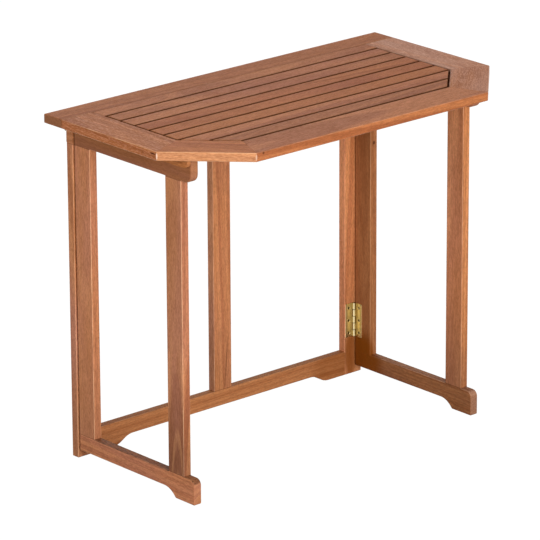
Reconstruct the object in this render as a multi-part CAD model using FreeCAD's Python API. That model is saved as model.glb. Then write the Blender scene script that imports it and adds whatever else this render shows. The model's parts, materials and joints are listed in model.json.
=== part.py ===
import FreeCAD, Part
import math
import os

Vector = FreeCAD.Vector

# Folding console table. The half-octagon top is a fixed rear board and a slatted leaf hinged to it.
# Two gate legs swing out from the rear frame and carry the leaf.
# Lengths are in millimetres. X runs along the table, the front is at -Y, and the floor is at Z = 0.

# Overall sizes
table_length = 900.0
table_depth = 487.0
table_height = 744.0
board_thickness = 19.0

# Table top
rear_board_depth = 56.5
seam_gap = 1.5
corner_cut = 138.0
leaf_rail_width = 80.0
leaf_rear_rail_width = 36.0
slat_count = 7
slat_gap = 5.0
slat_end_gap = 4.0
tongue_thickness = 7.0
tongue_reach = 8.0
tongue_shoulder = 3.0

# Rear frame and gate legs
frame_thickness = 19.0
stile_width = 48.0
top_rail_height = 51.5
foot_rail_height = 53.0
arch_rise = 18.0
side_overhang = 56.0
rear_inset = 1.0
gate_side_inset = 2.0
gate_end_gap = 3.2
gate_head_clearance = 0.5
gate_front_setback = 103.5
gate_nose = 31.0

# Shaped ends of the rails
nose_radius = 18.0
foot_nose_radius = 13.0
toe_radius = 3.0
gate_foot_flat = 58.0
gate_cove_radius = 42.0
rear_foot_length = 58.0
ogee_run = 29.0
ogee_radius = 42.0

# Battens under the leaf
centre_batten_width = 18.0
centre_batten_height = 15.0
centre_batten_rear_inset = 6.0
centre_batten_front_inset = 38.0
stop_batten_thickness = 9.0
stop_batten_height = 19.0
stop_batten_length = 120.0
stop_batten_radius = 12.0
stop_batten_ease = 1.5
stop_gap = 0.3

# Gate hinges: length along the pin, leaf width from the pin's axis
gate_hinge_length = 76.0
gate_hinge_leaf_width = 22.0
gate_hinge_leaf_thickness = 1.5
gate_hinge_knuckle_radius = 3.0
gate_hinge_pin_radius = 1.5
gate_hinge_end_distance = 32.0
gate_hinge_screw_end_distance = 10.0
gate_hinge_knuckles = 5
gate_hinge_screws = 3

# Leaf hinges, smaller and set outside the sweep of the gates
leaf_hinge_length = 40.0
leaf_hinge_leaf_width = 17.0
leaf_hinge_leaf_thickness = 1.2
leaf_hinge_knuckle_radius = 2.5
leaf_hinge_pin_radius = 1.2
leaf_hinge_screw_end_distance = 10.0
leaf_hinge_knuckles = 3
leaf_hinge_screws = 2

# Clearances of the hinges
hinge_wood_clearance = 0.3
knuckle_clearance = 0.25
pin_clearance = 0.05

# Wood screws and dowels
hinge_screw_head_radius = 4.1
hinge_screw_shank_radius = 1.5
hinge_screw_head_depth = 2.0
hinge_screw_length = 14.0
batten_screw_head_radius = 3.6
batten_screw_shank_radius = 1.7
batten_screw_head_depth = 2.0
centre_screw_length = 27.0
stop_screw_length = 31.0
board_screw_length = 36.0
board_screw_cover = 9.0
screw_clearance = 0.1
recess_width = 0.8
recess_depth = 0.9
dowel_radius = 4.0
dowel_length = 40.0
dowel_side_clearance = 0.1
dowel_end_clearance = 1.0

# Eased edges
frame_ease = 2.0
top_ease = 2.2
corner_round_extra = 1.3
mitre_groove_depth = 0.4
slat_ease = 1.4
seam_ease = 0.7
hinge_corner_radius = 1.5
knuckle_ease = 0.5
fit_clearance = 0.15
cut_overrun = 5.0

# Shares of the sizes that they follow
dowel_spread_share = 0.5
dowel_chamfer_share = 0.25
mitre_dowel_shares = (0.42, 0.76)
leaf_screw_share = 0.62
board_screw_shares = (-0.82, -0.3, 0.3, 0.82)
stop_screw_shares = (0.22, 0.72)
recess_length_share = 1.1
tip_share = 0.35

# Places worked out from the sizes above
half_length = table_length / 2
top_z = table_height
under_z = table_height - board_thickness
gate_top_z = under_z - gate_head_clearance
stile_top_z = gate_top_z - top_rail_height
board_mid_z = under_z + board_thickness / 2
post_outer_x = half_length - side_overhang
post_inner_x = post_outer_x - stile_width
gate_outer_x = post_outer_x - gate_side_inset
gate_inner_x = gate_outer_x - frame_thickness
gate_mid_x = gate_outer_x - frame_thickness / 2
frame_front = rear_inset + frame_thickness
frame_mid = rear_inset + frame_thickness / 2
gate_rear = frame_front + gate_end_gap
gate_front = table_depth - gate_front_setback
outer_stile_front = gate_front - gate_nose
leaf_rear = rear_board_depth + seam_gap
field_rear = leaf_rear + leaf_rear_rail_width
field_front = table_depth - leaf_rail_width
slat_width = (field_front - field_rear - (slat_count + 1) * slat_gap) / slat_count
gate_axis_offset = gate_hinge_knuckle_radius + hinge_wood_clearance
gate_axis_x = gate_inner_x - gate_axis_offset
gate_axis_forward = frame_front + gate_axis_offset
leaf_axis_offset = leaf_hinge_knuckle_radius + hinge_wood_clearance
leaf_axis_forward = rear_board_depth + seam_gap / 2
leaf_hinge_x = (post_outer_x + half_length) / 2
gate_hinge_centres = (
    foot_rail_height + gate_hinge_end_distance + gate_hinge_length / 2,
    stile_top_z - gate_hinge_end_distance - gate_hinge_length / 2,
)

right = Vector(1, 0, 0)
back = Vector(0, 1, 0)
up = Vector(0, 0, 1)


# General helpers

def y_at(forward):
    """Y of a place that lies this far forward of the table's rear edge."""
    return table_depth / 2 - forward


def block(x_range, forward_range, z_range):
    """Rectangular piece between two X values, two distances forward and two heights."""
    (x_low, x_high), (rear, front), (z_low, z_high) = x_range, forward_range, z_range
    corner = Vector(x_low, y_at(front), z_low)
    return Part.makeBox(x_high - x_low, front - rear, z_high - z_low, corner)


def prism(points, z_low, z_high):
    """Upright prism on a polygon of (x, forward) points."""
    corners = [Vector(x, y_at(forward), z_low) for x, forward in points]
    face = Part.Face(Part.makePolygon(corners + corners[:1]))
    return face.extrude(up * (z_high - z_low))


def rounded_face(points):
    """Flat face on a closed outline of (position, radius) corners, each rounded with its radius."""
    edges = []
    ends = []
    for index, (corner, radius) in enumerate(points):
        towards_last = (points[index - 1][0] - corner).normalize()
        towards_next = (points[(index + 1) % len(points)][0] - corner).normalize()
        half_turn = (math.pi - towards_last.getAngle(towards_next)) / 2
        setback = radius * math.tan(half_turn)
        start = corner + towards_last * setback
        end = corner + towards_next * setback
        bisector = (towards_last + towards_next).normalize()
        middle = corner + bisector * (radius / math.cos(half_turn) - radius)
        edges.append(Part.Arc(start, middle, end).toShape())
        ends.append((start, end))
    sides = [Part.makeLine(ends[i - 1][1], ends[i][0]) for i in range(len(ends))]
    outline = [edge for pair in zip(sides, edges) for edge in pair]
    return Part.Face(Part.Wire(outline))


def edges_in_plane(shape, axis, place):
    """Edges that lie wholly in the plane where this axis has this value."""
    def lies(edge):
        return all(round(getattr(vertex, axis) - place, 4) == 0 for vertex in edge.Vertexes)
    return [edge for edge in shape.Edges if lies(edge)]


def long_edges(shape, axis):
    """Straight edges that run along this axis."""
    others = [name for name in "XYZ" if name != axis]

    def runs(edge):
        first, last = edge.Vertexes[0], edge.Vertexes[-1]
        return all(round(getattr(first, name) - getattr(last, name), 4) == 0 for name in others)
    return [edge for edge in shape.Edges if runs(edge)]


def mirrored(shape):
    """The same piece on the other side of the table's middle."""
    return shape.mirror(Vector(0, 0, 0), right)


def cut_all(shape, cutters):
    """The shape with every cutter taken out of it."""
    return shape.cut(Part.makeCompound(cutters)) if cutters else shape


def joint_pad(x_range, forward_range, z_range):
    """Patch on a rail's eased edge where an upright butts against it, rounded like the upright."""
    pad = block(x_range, forward_range, z_range)
    return pad.makeFillet(frame_ease, long_edges(pad, "Z"))


def padded(rail, pads):
    """A rail with its joint pads, in one piece."""
    return rail.fuse(pads).removeSplitter()


def oriented(shape, origin, first, second):
    """A piece made at the origin, moved so that its X and Y run along these two directions."""
    rotation = FreeCAD.Rotation(first, second, first.cross(second), "XYZ")
    moved = shape.copy()
    moved.Placement = FreeCAD.Placement(origin, rotation).multiply(moved.Placement)
    return moved


def along(shape, origin, direction):
    """A piece made along Z at the origin, moved so that its Z runs along this direction."""
    moved = shape.copy()
    turn = FreeCAD.Rotation(up, direction)
    moved.Placement = FreeCAD.Placement(origin, turn).multiply(moved.Placement)
    return moved


# Fasteners

def revolved(points):
    """Turned piece on a closed outline of (radius, height) points."""
    corners = [Vector(radius, 0, height) for radius, height in points]
    face = Part.Face(Part.makePolygon(corners + corners[:1]))
    return face.revolve(Vector(0, 0, 0), up, 360)


def wood_screw(head_radius, shank_radius, head_depth, length):
    """Countersunk screw: the head's flat top is at the origin and the point is below it."""
    tip = length * tip_share
    screw = revolved([
        (0, 0), (head_radius, 0), (shank_radius, -head_depth),
        (shank_radius, tip - length), (0, -length),
    ])
    bar = head_radius * recess_length_share
    corner = Vector(-bar / 2, -recess_width / 2, -recess_depth)
    slot = Part.makeBox(bar, recess_width, recess_depth, corner)
    cross = slot.fuse(slot.rotated(Vector(0, 0, 0), up, 90))
    return screw.cut(cross)


def screw_space(head_radius, shank_radius, head_depth, length):
    """Room for a countersunk screw: the countersink, the hole and a mouth above the head."""
    head = head_radius + screw_clearance
    shank = shank_radius + screw_clearance
    return revolved([
        (0, cut_overrun), (head, cut_overrun), (head, 0), (shank, -head_depth),
        (shank, -length - screw_clearance), (0, -length - screw_clearance),
    ])


def dowel():
    """Round dowel centred on the origin, along Z, with its ends eased."""
    pin = Part.makeCylinder(dowel_radius, dowel_length, Vector(0, 0, -dowel_length / 2))
    return pin.makeChamfer(dowel_radius * dowel_chamfer_share, [edge for edge in pin.Edges if edge.Closed])


def dowel_space():
    """Room for a dowel, with its clearances."""
    length = dowel_length + 2 * dowel_end_clearance
    return Part.makeCylinder(dowel_radius + dowel_side_clearance, length, Vector(0, 0, -length / 2))


class Dowels:
    """Dowels of one body, and the holes that they need."""

    def __init__(self):
        self.pins = []
        self.holes = []

    def add(self, centre, direction):
        self.pins.append(along(dowel(), centre, direction))
        self.holes.append(along(dowel_space(), centre, direction))

    def add_pair(self, centre, direction, spread):
        """Two dowels, either side of the joint's centre."""
        for side in (-1, 1):
            self.add(centre + spread * (side / 2), direction)

    def bore(self, shape):
        return cut_all(shape, self.holes)


# Hinges

class Hinge:
    """Butt hinge with its pin on local Z, centred on the origin.

    A leaf lies along local X, on wood that is one axis offset below it in local Y.
    """

    def __init__(
            self, length, leaf_width, thickness, knuckle_radius, pin_radius, knuckles, screws, screw_end):
        self.length = length
        self.leaf_width = leaf_width
        self.thickness = thickness
        self.knuckle_radius = knuckle_radius
        self.pin_radius = pin_radius
        self.knuckles = knuckles
        self.axis_offset = knuckle_radius + hinge_wood_clearance
        self.screw_x = leaf_width * leaf_screw_share
        run = length - 2 * screw_end
        self.screw_heights = [run * (i / (screws - 1)) - run / 2 for i in range(screws)]

    def leaf(self, carries_first):
        """Leaf with its knuckles: the first, third and so on, or the ones between."""
        wood = -self.axis_offset
        low = -self.length / 2
        plate = Part.makeBox(self.leaf_width, self.thickness, self.length, Vector(0, wood, low))
        corners = [edge for edge in long_edges(plate, "Y") if edge.Vertexes[0].X > 0]
        plate = plate.makeFillet(hinge_corner_radius, corners)
        step = self.length / self.knuckles
        reach = self.knuckle_radius + knuckle_clearance
        notches = []
        for index in range(self.knuckles):
            foot = low + index * step
            if (index % 2 == 0) == carries_first:
                start = Vector(0, 0, foot + knuckle_clearance / 2)
                barrel = Part.makeCylinder(self.knuckle_radius, step - knuckle_clearance, start)
                rims = [edge for edge in barrel.Edges if edge.Closed]
                plate = plate.fuse(barrel.makeChamfer(knuckle_ease, rims))
            else:
                notches.append(Part.makeBox(
                    2 * reach, 2 * reach, step + knuckle_clearance,
                    Vector(-reach, -reach - hinge_wood_clearance, foot - knuckle_clearance / 2)))
        bore = Part.makeCylinder(
            self.pin_radius + pin_clearance, self.length + 2 * cut_overrun, Vector(0, 0, low - cut_overrun))
        countersinks = [self.at_screw(hinge_screw_space, height) for height in self.screw_heights]
        return cut_all(plate, notches + [bore] + countersinks).removeSplitter()

    def at_screw(self, shape, height):
        """A screw, or room for one, set on a leaf with its head flush."""
        surface = self.thickness - self.axis_offset
        return along(shape, Vector(self.screw_x, surface, height), back)

    def screws(self):
        return Part.makeCompound([self.at_screw(hinge_screw, height) for height in self.screw_heights])

    def spaces(self):
        return Part.makeCompound([self.at_screw(hinge_screw_space, height) for height in self.screw_heights])

    def pin(self):
        return Part.makeCylinder(self.pin_radius, self.length, Vector(0, 0, -self.length / 2))


hinge_screw_sizes = (
    hinge_screw_head_radius, hinge_screw_shank_radius, hinge_screw_head_depth, hinge_screw_length)
hinge_screw = wood_screw(*hinge_screw_sizes)
hinge_screw_space = screw_space(*hinge_screw_sizes)
gate_hinge = Hinge(
    gate_hinge_length, gate_hinge_leaf_width, gate_hinge_leaf_thickness, gate_hinge_knuckle_radius,
    gate_hinge_pin_radius, gate_hinge_knuckles, gate_hinge_screws, gate_hinge_screw_end_distance)
leaf_hinge = Hinge(
    leaf_hinge_length, leaf_hinge_leaf_width, leaf_hinge_leaf_thickness, leaf_hinge_knuckle_radius,
    leaf_hinge_pin_radius, leaf_hinge_knuckles, leaf_hinge_screws, leaf_hinge_screw_end_distance)


def on_post(shape, height):
    """A gate hinge's piece, set on the front of the right post."""
    return oriented(shape, Vector(gate_axis_x, y_at(gate_axis_forward), height), -right, -back)


def on_gate(shape, height):
    """A gate hinge's piece, set on the inner face of the right gate."""
    return oriented(shape, Vector(gate_axis_x, y_at(gate_axis_forward), height), -back, -right)


def on_board(shape):
    """A leaf hinge's piece, set under the rear board's right end."""
    axis = Vector(leaf_hinge_x, y_at(leaf_axis_forward), under_z - leaf_axis_offset)
    return oriented(shape, axis, back, -up)


def on_leaf(shape):
    """A leaf hinge's piece, set under the leaf's right side rail."""
    axis = Vector(leaf_hinge_x, y_at(leaf_axis_forward), under_z - leaf_axis_offset)
    return oriented(shape, axis, -back, -up)


post_screw_spaces = [on_post(gate_hinge.spaces(), height) for height in gate_hinge_centres]
gate_screw_spaces = [on_gate(gate_hinge.spaces(), height) for height in gate_hinge_centres]
nodes = {}


# Rear frame

frame_thick = (rear_inset, frame_front)
rear_dowels = Dowels()
post_dowel_spread = right * (stile_width * dowel_spread_share)
rail_dowel_spread = up * ((foot_rail_height - arch_rise) * dowel_spread_share)
post_mid_x = post_outer_x - stile_width / 2
upper_foot_rail_z = (foot_rail_height + arch_rise) / 2
for side in (-1, 1):
    rear_dowels.add_pair(
        Vector(side * post_inner_x, y_at(frame_mid), upper_foot_rail_z), right, rail_dowel_spread)
    rear_dowels.add_pair(
        Vector(side * post_mid_x, y_at(frame_mid), stile_top_z), up, post_dowel_spread)
rear_dowels.add_pair(Vector(0, y_at(frame_mid), foot_rail_height), up, post_dowel_spread)
rear_dowels.add_pair(Vector(0, y_at(frame_mid), stile_top_z), up, post_dowel_spread)


def rear_post():
    """Right post: from the floor to the top rail, eased on its long edges and its foot."""
    post = block((post_inner_x, post_outer_x), frame_thick, (0, stile_top_z))
    post = post.makeFillet(frame_ease, long_edges(post, "Z") + edges_in_plane(post, "Z", 0))
    rail_seat = block(
        (post_inner_x, post_inner_x + frame_ease), frame_thick, (frame_ease, foot_rail_height - frame_ease))
    return cut_all(rear_dowels.bore(padded(post, [rail_seat])), post_screw_spaces)


middle_post_x = (-stile_width / 2, stile_width / 2)


def middle_post():
    """Post that stands on the bottom rail, half way along."""
    post = block(middle_post_x, frame_thick, (foot_rail_height, stile_top_z))
    return rear_dowels.bore(post.makeFillet(frame_ease, long_edges(post, "Z")))


def rear_bottom_rail():
    """Rail between the posts, with a foot at each end and a low arch between the feet.

    It is shaped a little too long and cut off square, so that its ends fit the posts.
    """
    front_y = y_at(frame_front)
    foot_end = post_inner_x - rear_foot_length
    arch_end = foot_end - ogee_run
    raw_end = post_inner_x + toe_radius + frame_ease
    profile = [
        (-arch_end, arch_rise, ogee_radius), (-foot_end, 0, ogee_radius), (-raw_end, 0, toe_radius),
        (-raw_end, foot_rail_height, toe_radius), (raw_end, foot_rail_height, toe_radius),
        (raw_end, 0, toe_radius), (foot_end, 0, ogee_radius), (arch_end, arch_rise, ogee_radius),
    ]
    face = rounded_face([(Vector(x, front_y, z), radius) for x, z, radius in profile])
    rail = face.extrude(back * frame_thickness)
    rims = edges_in_plane(rail, "Y", front_y) + edges_in_plane(rail, "Y", y_at(rear_inset))
    rail = rail.makeFillet(frame_ease, rims)
    rail = rail.common(block((-post_inner_x, post_inner_x), frame_thick, (0, foot_rail_height)))
    pad = joint_pad(middle_post_x, frame_thick, (foot_rail_height - frame_ease, foot_rail_height))
    return rear_dowels.bore(padded(rail, [pad]))


board_screw_head = under_z + board_screw_cover - board_screw_length
board_screw_places = [
    Vector(post_outer_x * share, y_at(frame_mid), board_screw_head) for share in board_screw_shares]
board_screw_sizes = (
    batten_screw_head_radius, batten_screw_shank_radius, batten_screw_head_depth, board_screw_length)


def counterbored(space, head_radius):
    """Room for a screw with a bore above its head, so that a screwdriver reaches it."""
    bore = Part.makeCylinder(head_radius + screw_clearance, top_rail_height)
    return space.fuse(bore)


board_screw_room = counterbored(screw_space(*board_screw_sizes), batten_screw_head_radius)
board_screw_spaces = [along(board_screw_room, place, -up) for place in board_screw_places]


def rear_top_rail():
    """Rail on top of the posts, under the rear board."""
    rail = block((-post_outer_x, post_outer_x), frame_thick, (stile_top_z, under_z))
    rail = rail.makeFillet(frame_ease, edges_in_plane(rail, "Z", stile_top_z))
    post_ranges = [(-post_outer_x, -post_inner_x), middle_post_x, (post_inner_x, post_outer_x)]
    pad_heights = (stile_top_z, stile_top_z + frame_ease)
    pads = [joint_pad(x_range, frame_thick, pad_heights) for x_range in post_ranges]
    return cut_all(rear_dowels.bore(padded(rail, pads)), board_screw_spaces)


def rear_board():
    """Fixed strip at the back of the top."""
    board = block((-half_length, half_length), (0, rear_board_depth), (under_z, top_z))
    seam_keys = [edge.hashCode() for edge in edges_in_plane(board, "Y", y_at(rear_board_depth))]
    board = board.makeFillet(top_ease, [edge for edge in board.Edges if edge.hashCode() not in seam_keys])
    seam_edges = edges_in_plane(board, "Y", y_at(rear_board_depth))
    board = board.makeFillet(seam_ease, [edge for edge in seam_edges if edge.Length > half_length])
    hinge_spaces = on_board(leaf_hinge.spaces())
    return cut_all(board, board_screw_spaces + [hinge_spaces, mirrored(hinge_spaces)])


right_post = rear_post()
nodes["rear_right_post"] = right_post
nodes["rear_left_post"] = mirrored(right_post)
nodes["rear_middle_post"] = middle_post()
nodes["rear_bottom_rail"] = rear_bottom_rail()
nodes["rear_top_rail"] = rear_top_rail()
nodes["rear_board"] = rear_board()
nodes["rear_frame_dowels"] = Part.makeCompound(rear_dowels.pins)
board_screw = wood_screw(*board_screw_sizes)
nodes["rear_board_screws"] = Part.makeCompound(
    [along(board_screw, place, -up) for place in board_screw_places])


# Gate legs

gate_thick = (gate_inner_x, gate_outer_x)
gate_dowels = Dowels()
inner_stile_range = (gate_rear, gate_rear + stile_width)
outer_stile_range = (outer_stile_front - stile_width, outer_stile_front)
for stile_range in (inner_stile_range, outer_stile_range):
    for joint_z in (foot_rail_height, stile_top_z):
        gate_dowels.add_pair(
            Vector(gate_mid_x, y_at(sum(stile_range) / 2), joint_z), up,
            back * (stile_width * dowel_spread_share))


def gate_stile(stile_range):
    """Upright of the right gate, between its two rails."""
    stile = block(gate_thick, stile_range, (foot_rail_height, stile_top_z))
    stile = stile.makeFillet(frame_ease, long_edges(stile, "Z"))
    return cut_all(gate_dowels.bore(stile), gate_screw_spaces)


def gate_rail(profile, pad_heights):
    """Rail of the right gate, on an outline of (forward, height, radius) corners, padded at its stiles."""
    face = rounded_face([(Vector(gate_inner_x, y_at(forward), z), radius) for forward, z, radius in profile])
    rail = face.extrude(right * frame_thickness)
    rims = edges_in_plane(rail, "X", gate_inner_x) + edges_in_plane(rail, "X", gate_outer_x)
    pads = [joint_pad(gate_thick, place, pad_heights) for place in (inner_stile_range, outer_stile_range)]
    return gate_dowels.bore(padded(rail.makeFillet(frame_ease, rims), pads))


def gate_bottom_rail():
    """Rail under the stiles: its front end is a foot, and the rest is raised off the floor."""
    cove_end = gate_front - gate_foot_flat
    return gate_rail([
        (gate_rear, arch_rise, toe_radius), (cove_end - arch_rise, arch_rise, gate_cove_radius),
        (cove_end, 0, toe_radius), (gate_front, 0, toe_radius),
        (gate_front, foot_rail_height, foot_nose_radius), (gate_rear, foot_rail_height, toe_radius),
    ], (foot_rail_height - toe_radius, foot_rail_height))


def gate_top_rail():
    """Rail over the stiles that carries the leaf, with a rounded nose."""
    return gate_rail([
        (gate_rear, stile_top_z, toe_radius), (gate_front, stile_top_z, nose_radius),
        (gate_front, gate_top_z, toe_radius), (gate_rear, gate_top_z, toe_radius),
    ], (stile_top_z, stile_top_z + toe_radius))


right_gate = {
    "gate_inner_stile": gate_stile(inner_stile_range),
    "gate_outer_stile": gate_stile(outer_stile_range),
    "gate_top_rail": gate_top_rail(),
    "gate_bottom_rail": gate_bottom_rail(),
    "gate_dowels": Part.makeCompound(gate_dowels.pins),
    "gate_hinge_leaves": Part.makeCompound(
        [on_gate(gate_hinge.leaf(False), height) for height in gate_hinge_centres]),
    "gate_hinge_screws": Part.makeCompound(
        [on_gate(gate_hinge.screws(), height) for height in gate_hinge_centres]),
    "post_hinge_leaves": Part.makeCompound(
        [on_post(gate_hinge.leaf(True), height) for height in gate_hinge_centres]),
    "post_hinge_screws": Part.makeCompound(
        [on_post(gate_hinge.screws(), height) for height in gate_hinge_centres]),
    "gate_hinge_pins": Part.makeCompound(
        [on_post(gate_hinge.pin(), height) for height in gate_hinge_centres]),
}
for name, shape in right_gate.items():
    nodes["right_" + name] = shape
    nodes["left_" + name] = mirrored(shape)


# Drop leaf

leaf_dowels = Dowels()
corner_turn = math.radians(45)
mitre_slope = math.tan(corner_turn / 2)
side_corner = table_depth - corner_cut
front_corner_x = half_length - corner_cut


def frame_line(inset):
    """Outline of the leaf's right half, this far inside its edge: the two corners beside the corner rail."""
    return (
        (half_length - inset, side_corner - inset * mitre_slope),
        (front_corner_x - inset * mitre_slope, table_depth - inset),
    )


def field_prism(growth, z_low, z_high):
    """Prism of the opening inside the leaf's frame, grown by this much into the frame."""
    (side_x, side_forward), (front_x, front_forward) = frame_line(leaf_rail_width - growth)
    half = [(side_x, leaf_rear), (side_x, side_forward), (front_x, front_forward)]
    return prism(half + [(-x, forward) for x, forward in reversed(half)], z_low, z_high)


def leaf_blank():
    """Solid on the leaf's outline, with rounded upright corners and eased upper and lower edges.

    It runs on behind the seam, so that the side rails stay square there.
    """
    corner_round = top_ease + corner_round_extra
    half = [(half_length, leaf_rear - corner_round - cut_overrun), *outer_corners]
    outline = half + [(-x, forward) for x, forward in reversed(half)]
    face = rounded_face([(Vector(x, y_at(forward), under_z), corner_round) for x, forward in outline])
    blank = face.extrude(up * board_thickness)
    rims = edges_in_plane(blank, "Z", under_z) + edges_in_plane(blank, "Z", top_z)
    return blank.makeFillet(top_ease, rims)


def mitre_groove(start, mitre, across):
    """Fine V groove along the top of a mitre, as sanding leaves it."""
    side, depth = across * mitre_groove_depth, up * mitre_groove_depth
    corners = [start + side, start + depth, start - side, start - depth]
    return Part.Face(Part.makePolygon(corners + corners[:1])).extrude(mitre)


outer_corners = frame_line(0)
inner_corners = frame_line(leaf_rail_width)
leaf_outline = leaf_blank()
mitre_grooves = []
for outer, inner in zip(outer_corners, inner_corners):
    mitre = Vector(outer[0] - inner[0], inner[1] - outer[1], 0)
    across = mitre.cross(up).normalize()
    for share in mitre_dowel_shares:
        centre = Vector(inner[0], y_at(inner[1]), board_mid_z) + mitre * share
        leaf_dowels.add(centre, across)
        leaf_dowels.add(Vector(-centre.x, centre.y, centre.z), Vector(-across.x, across.y, 0))
    right_groove = mitre_groove(Vector(inner[0], y_at(inner[1]), top_z), mitre, across)
    mitre_grooves += [right_groove, mirrored(right_groove)]

groove_low = board_mid_z - tongue_thickness / 2 - fit_clearance
groove_high = board_mid_z + tongue_thickness / 2 + fit_clearance
groove = field_prism(tongue_reach + fit_clearance, groove_low, groove_high)

stop_thick = (gate_outer_x + stop_gap, gate_outer_x + stop_gap + stop_batten_thickness)
stop_mid_x = (stop_thick[0] + stop_thick[1]) / 2
stop_rear = gate_front - stop_batten_length
stop_screw_sizes = (
    batten_screw_head_radius, batten_screw_shank_radius, batten_screw_head_depth, stop_screw_length)
centre_screw_sizes = (
    batten_screw_head_radius, batten_screw_shank_radius, batten_screw_head_depth, centre_screw_length)
stop_screw_places = [
    Vector(stop_mid_x, y_at(stop_rear + stop_batten_length * share), under_z - stop_batten_height)
    for share in stop_screw_shares]
slat_rears = [field_rear + slat_gap + i * (slat_width + slat_gap) for i in range(slat_count)]
centre_screw_forwards = [leaf_rear + leaf_rear_rail_width / 2]
centre_screw_forwards += [rear + slat_width / 2 for rear in slat_rears]
centre_screw_forwards += [table_depth - (leaf_rail_width + centre_batten_front_inset) / 2]
centre_screw_places = [
    Vector(0, y_at(forward), under_z - centre_batten_height) for forward in centre_screw_forwards]
stop_spaces = [along(screw_space(*stop_screw_sizes), place, -up) for place in stop_screw_places]
stop_spaces += [mirrored(space) for space in stop_spaces]
centre_spaces = [along(screw_space(*centre_screw_sizes), place, -up) for place in centre_screw_places]
leaf_hinge_spaces = [on_leaf(leaf_hinge.spaces()), mirrored(on_leaf(leaf_hinge.spaces()))]


def leaf_rail(outer_start, outer_end, inner_end, inner_start):
    """Frame rail of the leaf on four (x, forward) corners, with its two long sides eased."""
    rail = prism([outer_start, outer_end, inner_end, inner_start], under_z, top_z)
    inner_side = sorted((round(x, 3), round(y_at(forward), 3)) for x, forward in (inner_end, inner_start))

    def lies_on_inner_side(edge):
        return sorted((round(vertex.X, 3), round(vertex.Y, 3)) for vertex in edge.Vertexes) == inner_side

    rail = rail.makeFillet(top_ease, [edge for edge in rail.Edges if lies_on_inner_side(edge)])
    rail = leaf_dowels.bore(rail.common(leaf_outline)).cut(groove)
    return cut_all(rail, mitre_grooves + stop_spaces + centre_spaces + leaf_hinge_spaces)


def slat(rear):
    """Slat with an eased top and a tongue at each end that sits in the frame's groove."""
    front = rear + slat_width
    body = block((-half_length, half_length), (rear, front), (under_z, top_z))
    body = body.common(field_prism(-slat_end_gap, under_z, top_z))
    body = body.makeFillet(slat_ease, edges_in_plane(body, "Z", top_z))
    tongue_low = board_mid_z - tongue_thickness / 2
    tongue_high = board_mid_z + tongue_thickness / 2
    tongue_range = (rear + tongue_shoulder, front - tongue_shoulder)
    tongue = block((-half_length, half_length), tongue_range, (tongue_low, tongue_high))
    tongue = tongue.common(field_prism(tongue_reach, tongue_low, tongue_high))
    return cut_all(body.fuse(tongue).removeSplitter(), centre_spaces)


def leaf_rear_rail():
    """Rail along the seam, between the side rails, with a tongue in each of them."""
    inner_x = half_length - leaf_rail_width
    body = block((-inner_x, inner_x), (leaf_rear, field_rear), (under_z, top_z))
    seam_top = [edge for edge in edges_in_plane(body, "Y", y_at(leaf_rear)) if edge.Length > inner_x]
    field_top = [edge for edge in edges_in_plane(body, "Y", y_at(field_rear)) if edge.Length > inner_x]
    body = body.makeFillet(seam_ease, seam_top).makeFillet(slat_ease, field_top)
    reach = inner_x + tongue_reach
    tongue_z = (board_mid_z - tongue_thickness / 2, board_mid_z + tongue_thickness / 2)
    tongue = block((-reach, reach), (leaf_rear + tongue_shoulder, field_rear - tongue_shoulder), tongue_z)
    return cut_all(body.fuse(tongue).removeSplitter(), centre_spaces)


def stop_batten():
    """Stop under the right side of the leaf, against the outer face of the open gate."""
    low_z = under_z - stop_batten_height
    profile = [
        (stop_rear, low_z, toe_radius), (gate_front, low_z, stop_batten_radius),
        (gate_front, under_z, stop_batten_ease), (stop_rear, under_z, stop_batten_ease),
    ]
    face = rounded_face([(Vector(stop_thick[0], y_at(forward), z), radius) for forward, z, radius in profile])
    return cut_all(face.extrude(right * stop_batten_thickness), stop_spaces)


def centre_batten():
    """Batten under the middle of the slats, screwed to each of them."""
    half = centre_batten_width / 2
    ends = (leaf_rear + centre_batten_rear_inset, table_depth - centre_batten_front_inset)
    batten = block((-half, half), ends, (under_z - centre_batten_height, under_z))
    batten = batten.makeFillet(frame_ease, edges_in_plane(batten, "Z", under_z - centre_batten_height))
    return cut_all(batten, centre_spaces)


side_rail = leaf_rail(
    (half_length, leaf_rear), outer_corners[0], inner_corners[0], (half_length - leaf_rail_width, leaf_rear))
corner_rail = leaf_rail(outer_corners[0], outer_corners[1], inner_corners[1], inner_corners[0])
nodes["leaf_right_side_rail"] = side_rail
nodes["leaf_left_side_rail"] = mirrored(side_rail)
nodes["leaf_right_corner_rail"] = corner_rail
nodes["leaf_left_corner_rail"] = mirrored(corner_rail)
nodes["leaf_front_rail"] = leaf_rail(
    outer_corners[1], (-outer_corners[1][0], outer_corners[1][1]),
    (-inner_corners[1][0], inner_corners[1][1]), inner_corners[1])
nodes["leaf_rear_rail"] = leaf_rear_rail()
for index, slat_rear in enumerate(slat_rears):
    nodes["slat_%d" % (index + 1)] = slat(slat_rear)
right_stop = stop_batten()
nodes["leaf_right_stop_batten"] = right_stop
nodes["leaf_left_stop_batten"] = mirrored(right_stop)
nodes["leaf_centre_batten"] = centre_batten()
stop_screws = [along(wood_screw(*stop_screw_sizes), place, -up) for place in stop_screw_places]
stop_screws += [mirrored(screw) for screw in stop_screws]
centre_screws = [along(wood_screw(*centre_screw_sizes), place, -up) for place in centre_screw_places]
nodes["leaf_batten_screws"] = Part.makeCompound(stop_screws + centre_screws)
nodes["leaf_dowels"] = Part.makeCompound(leaf_dowels.pins)


# Leaf hinges, one at each end of the seam

def both_ends(shape):
    """A piece of the right leaf hinge and its twin at the left end."""
    return Part.makeCompound([shape, mirrored(shape)])


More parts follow.
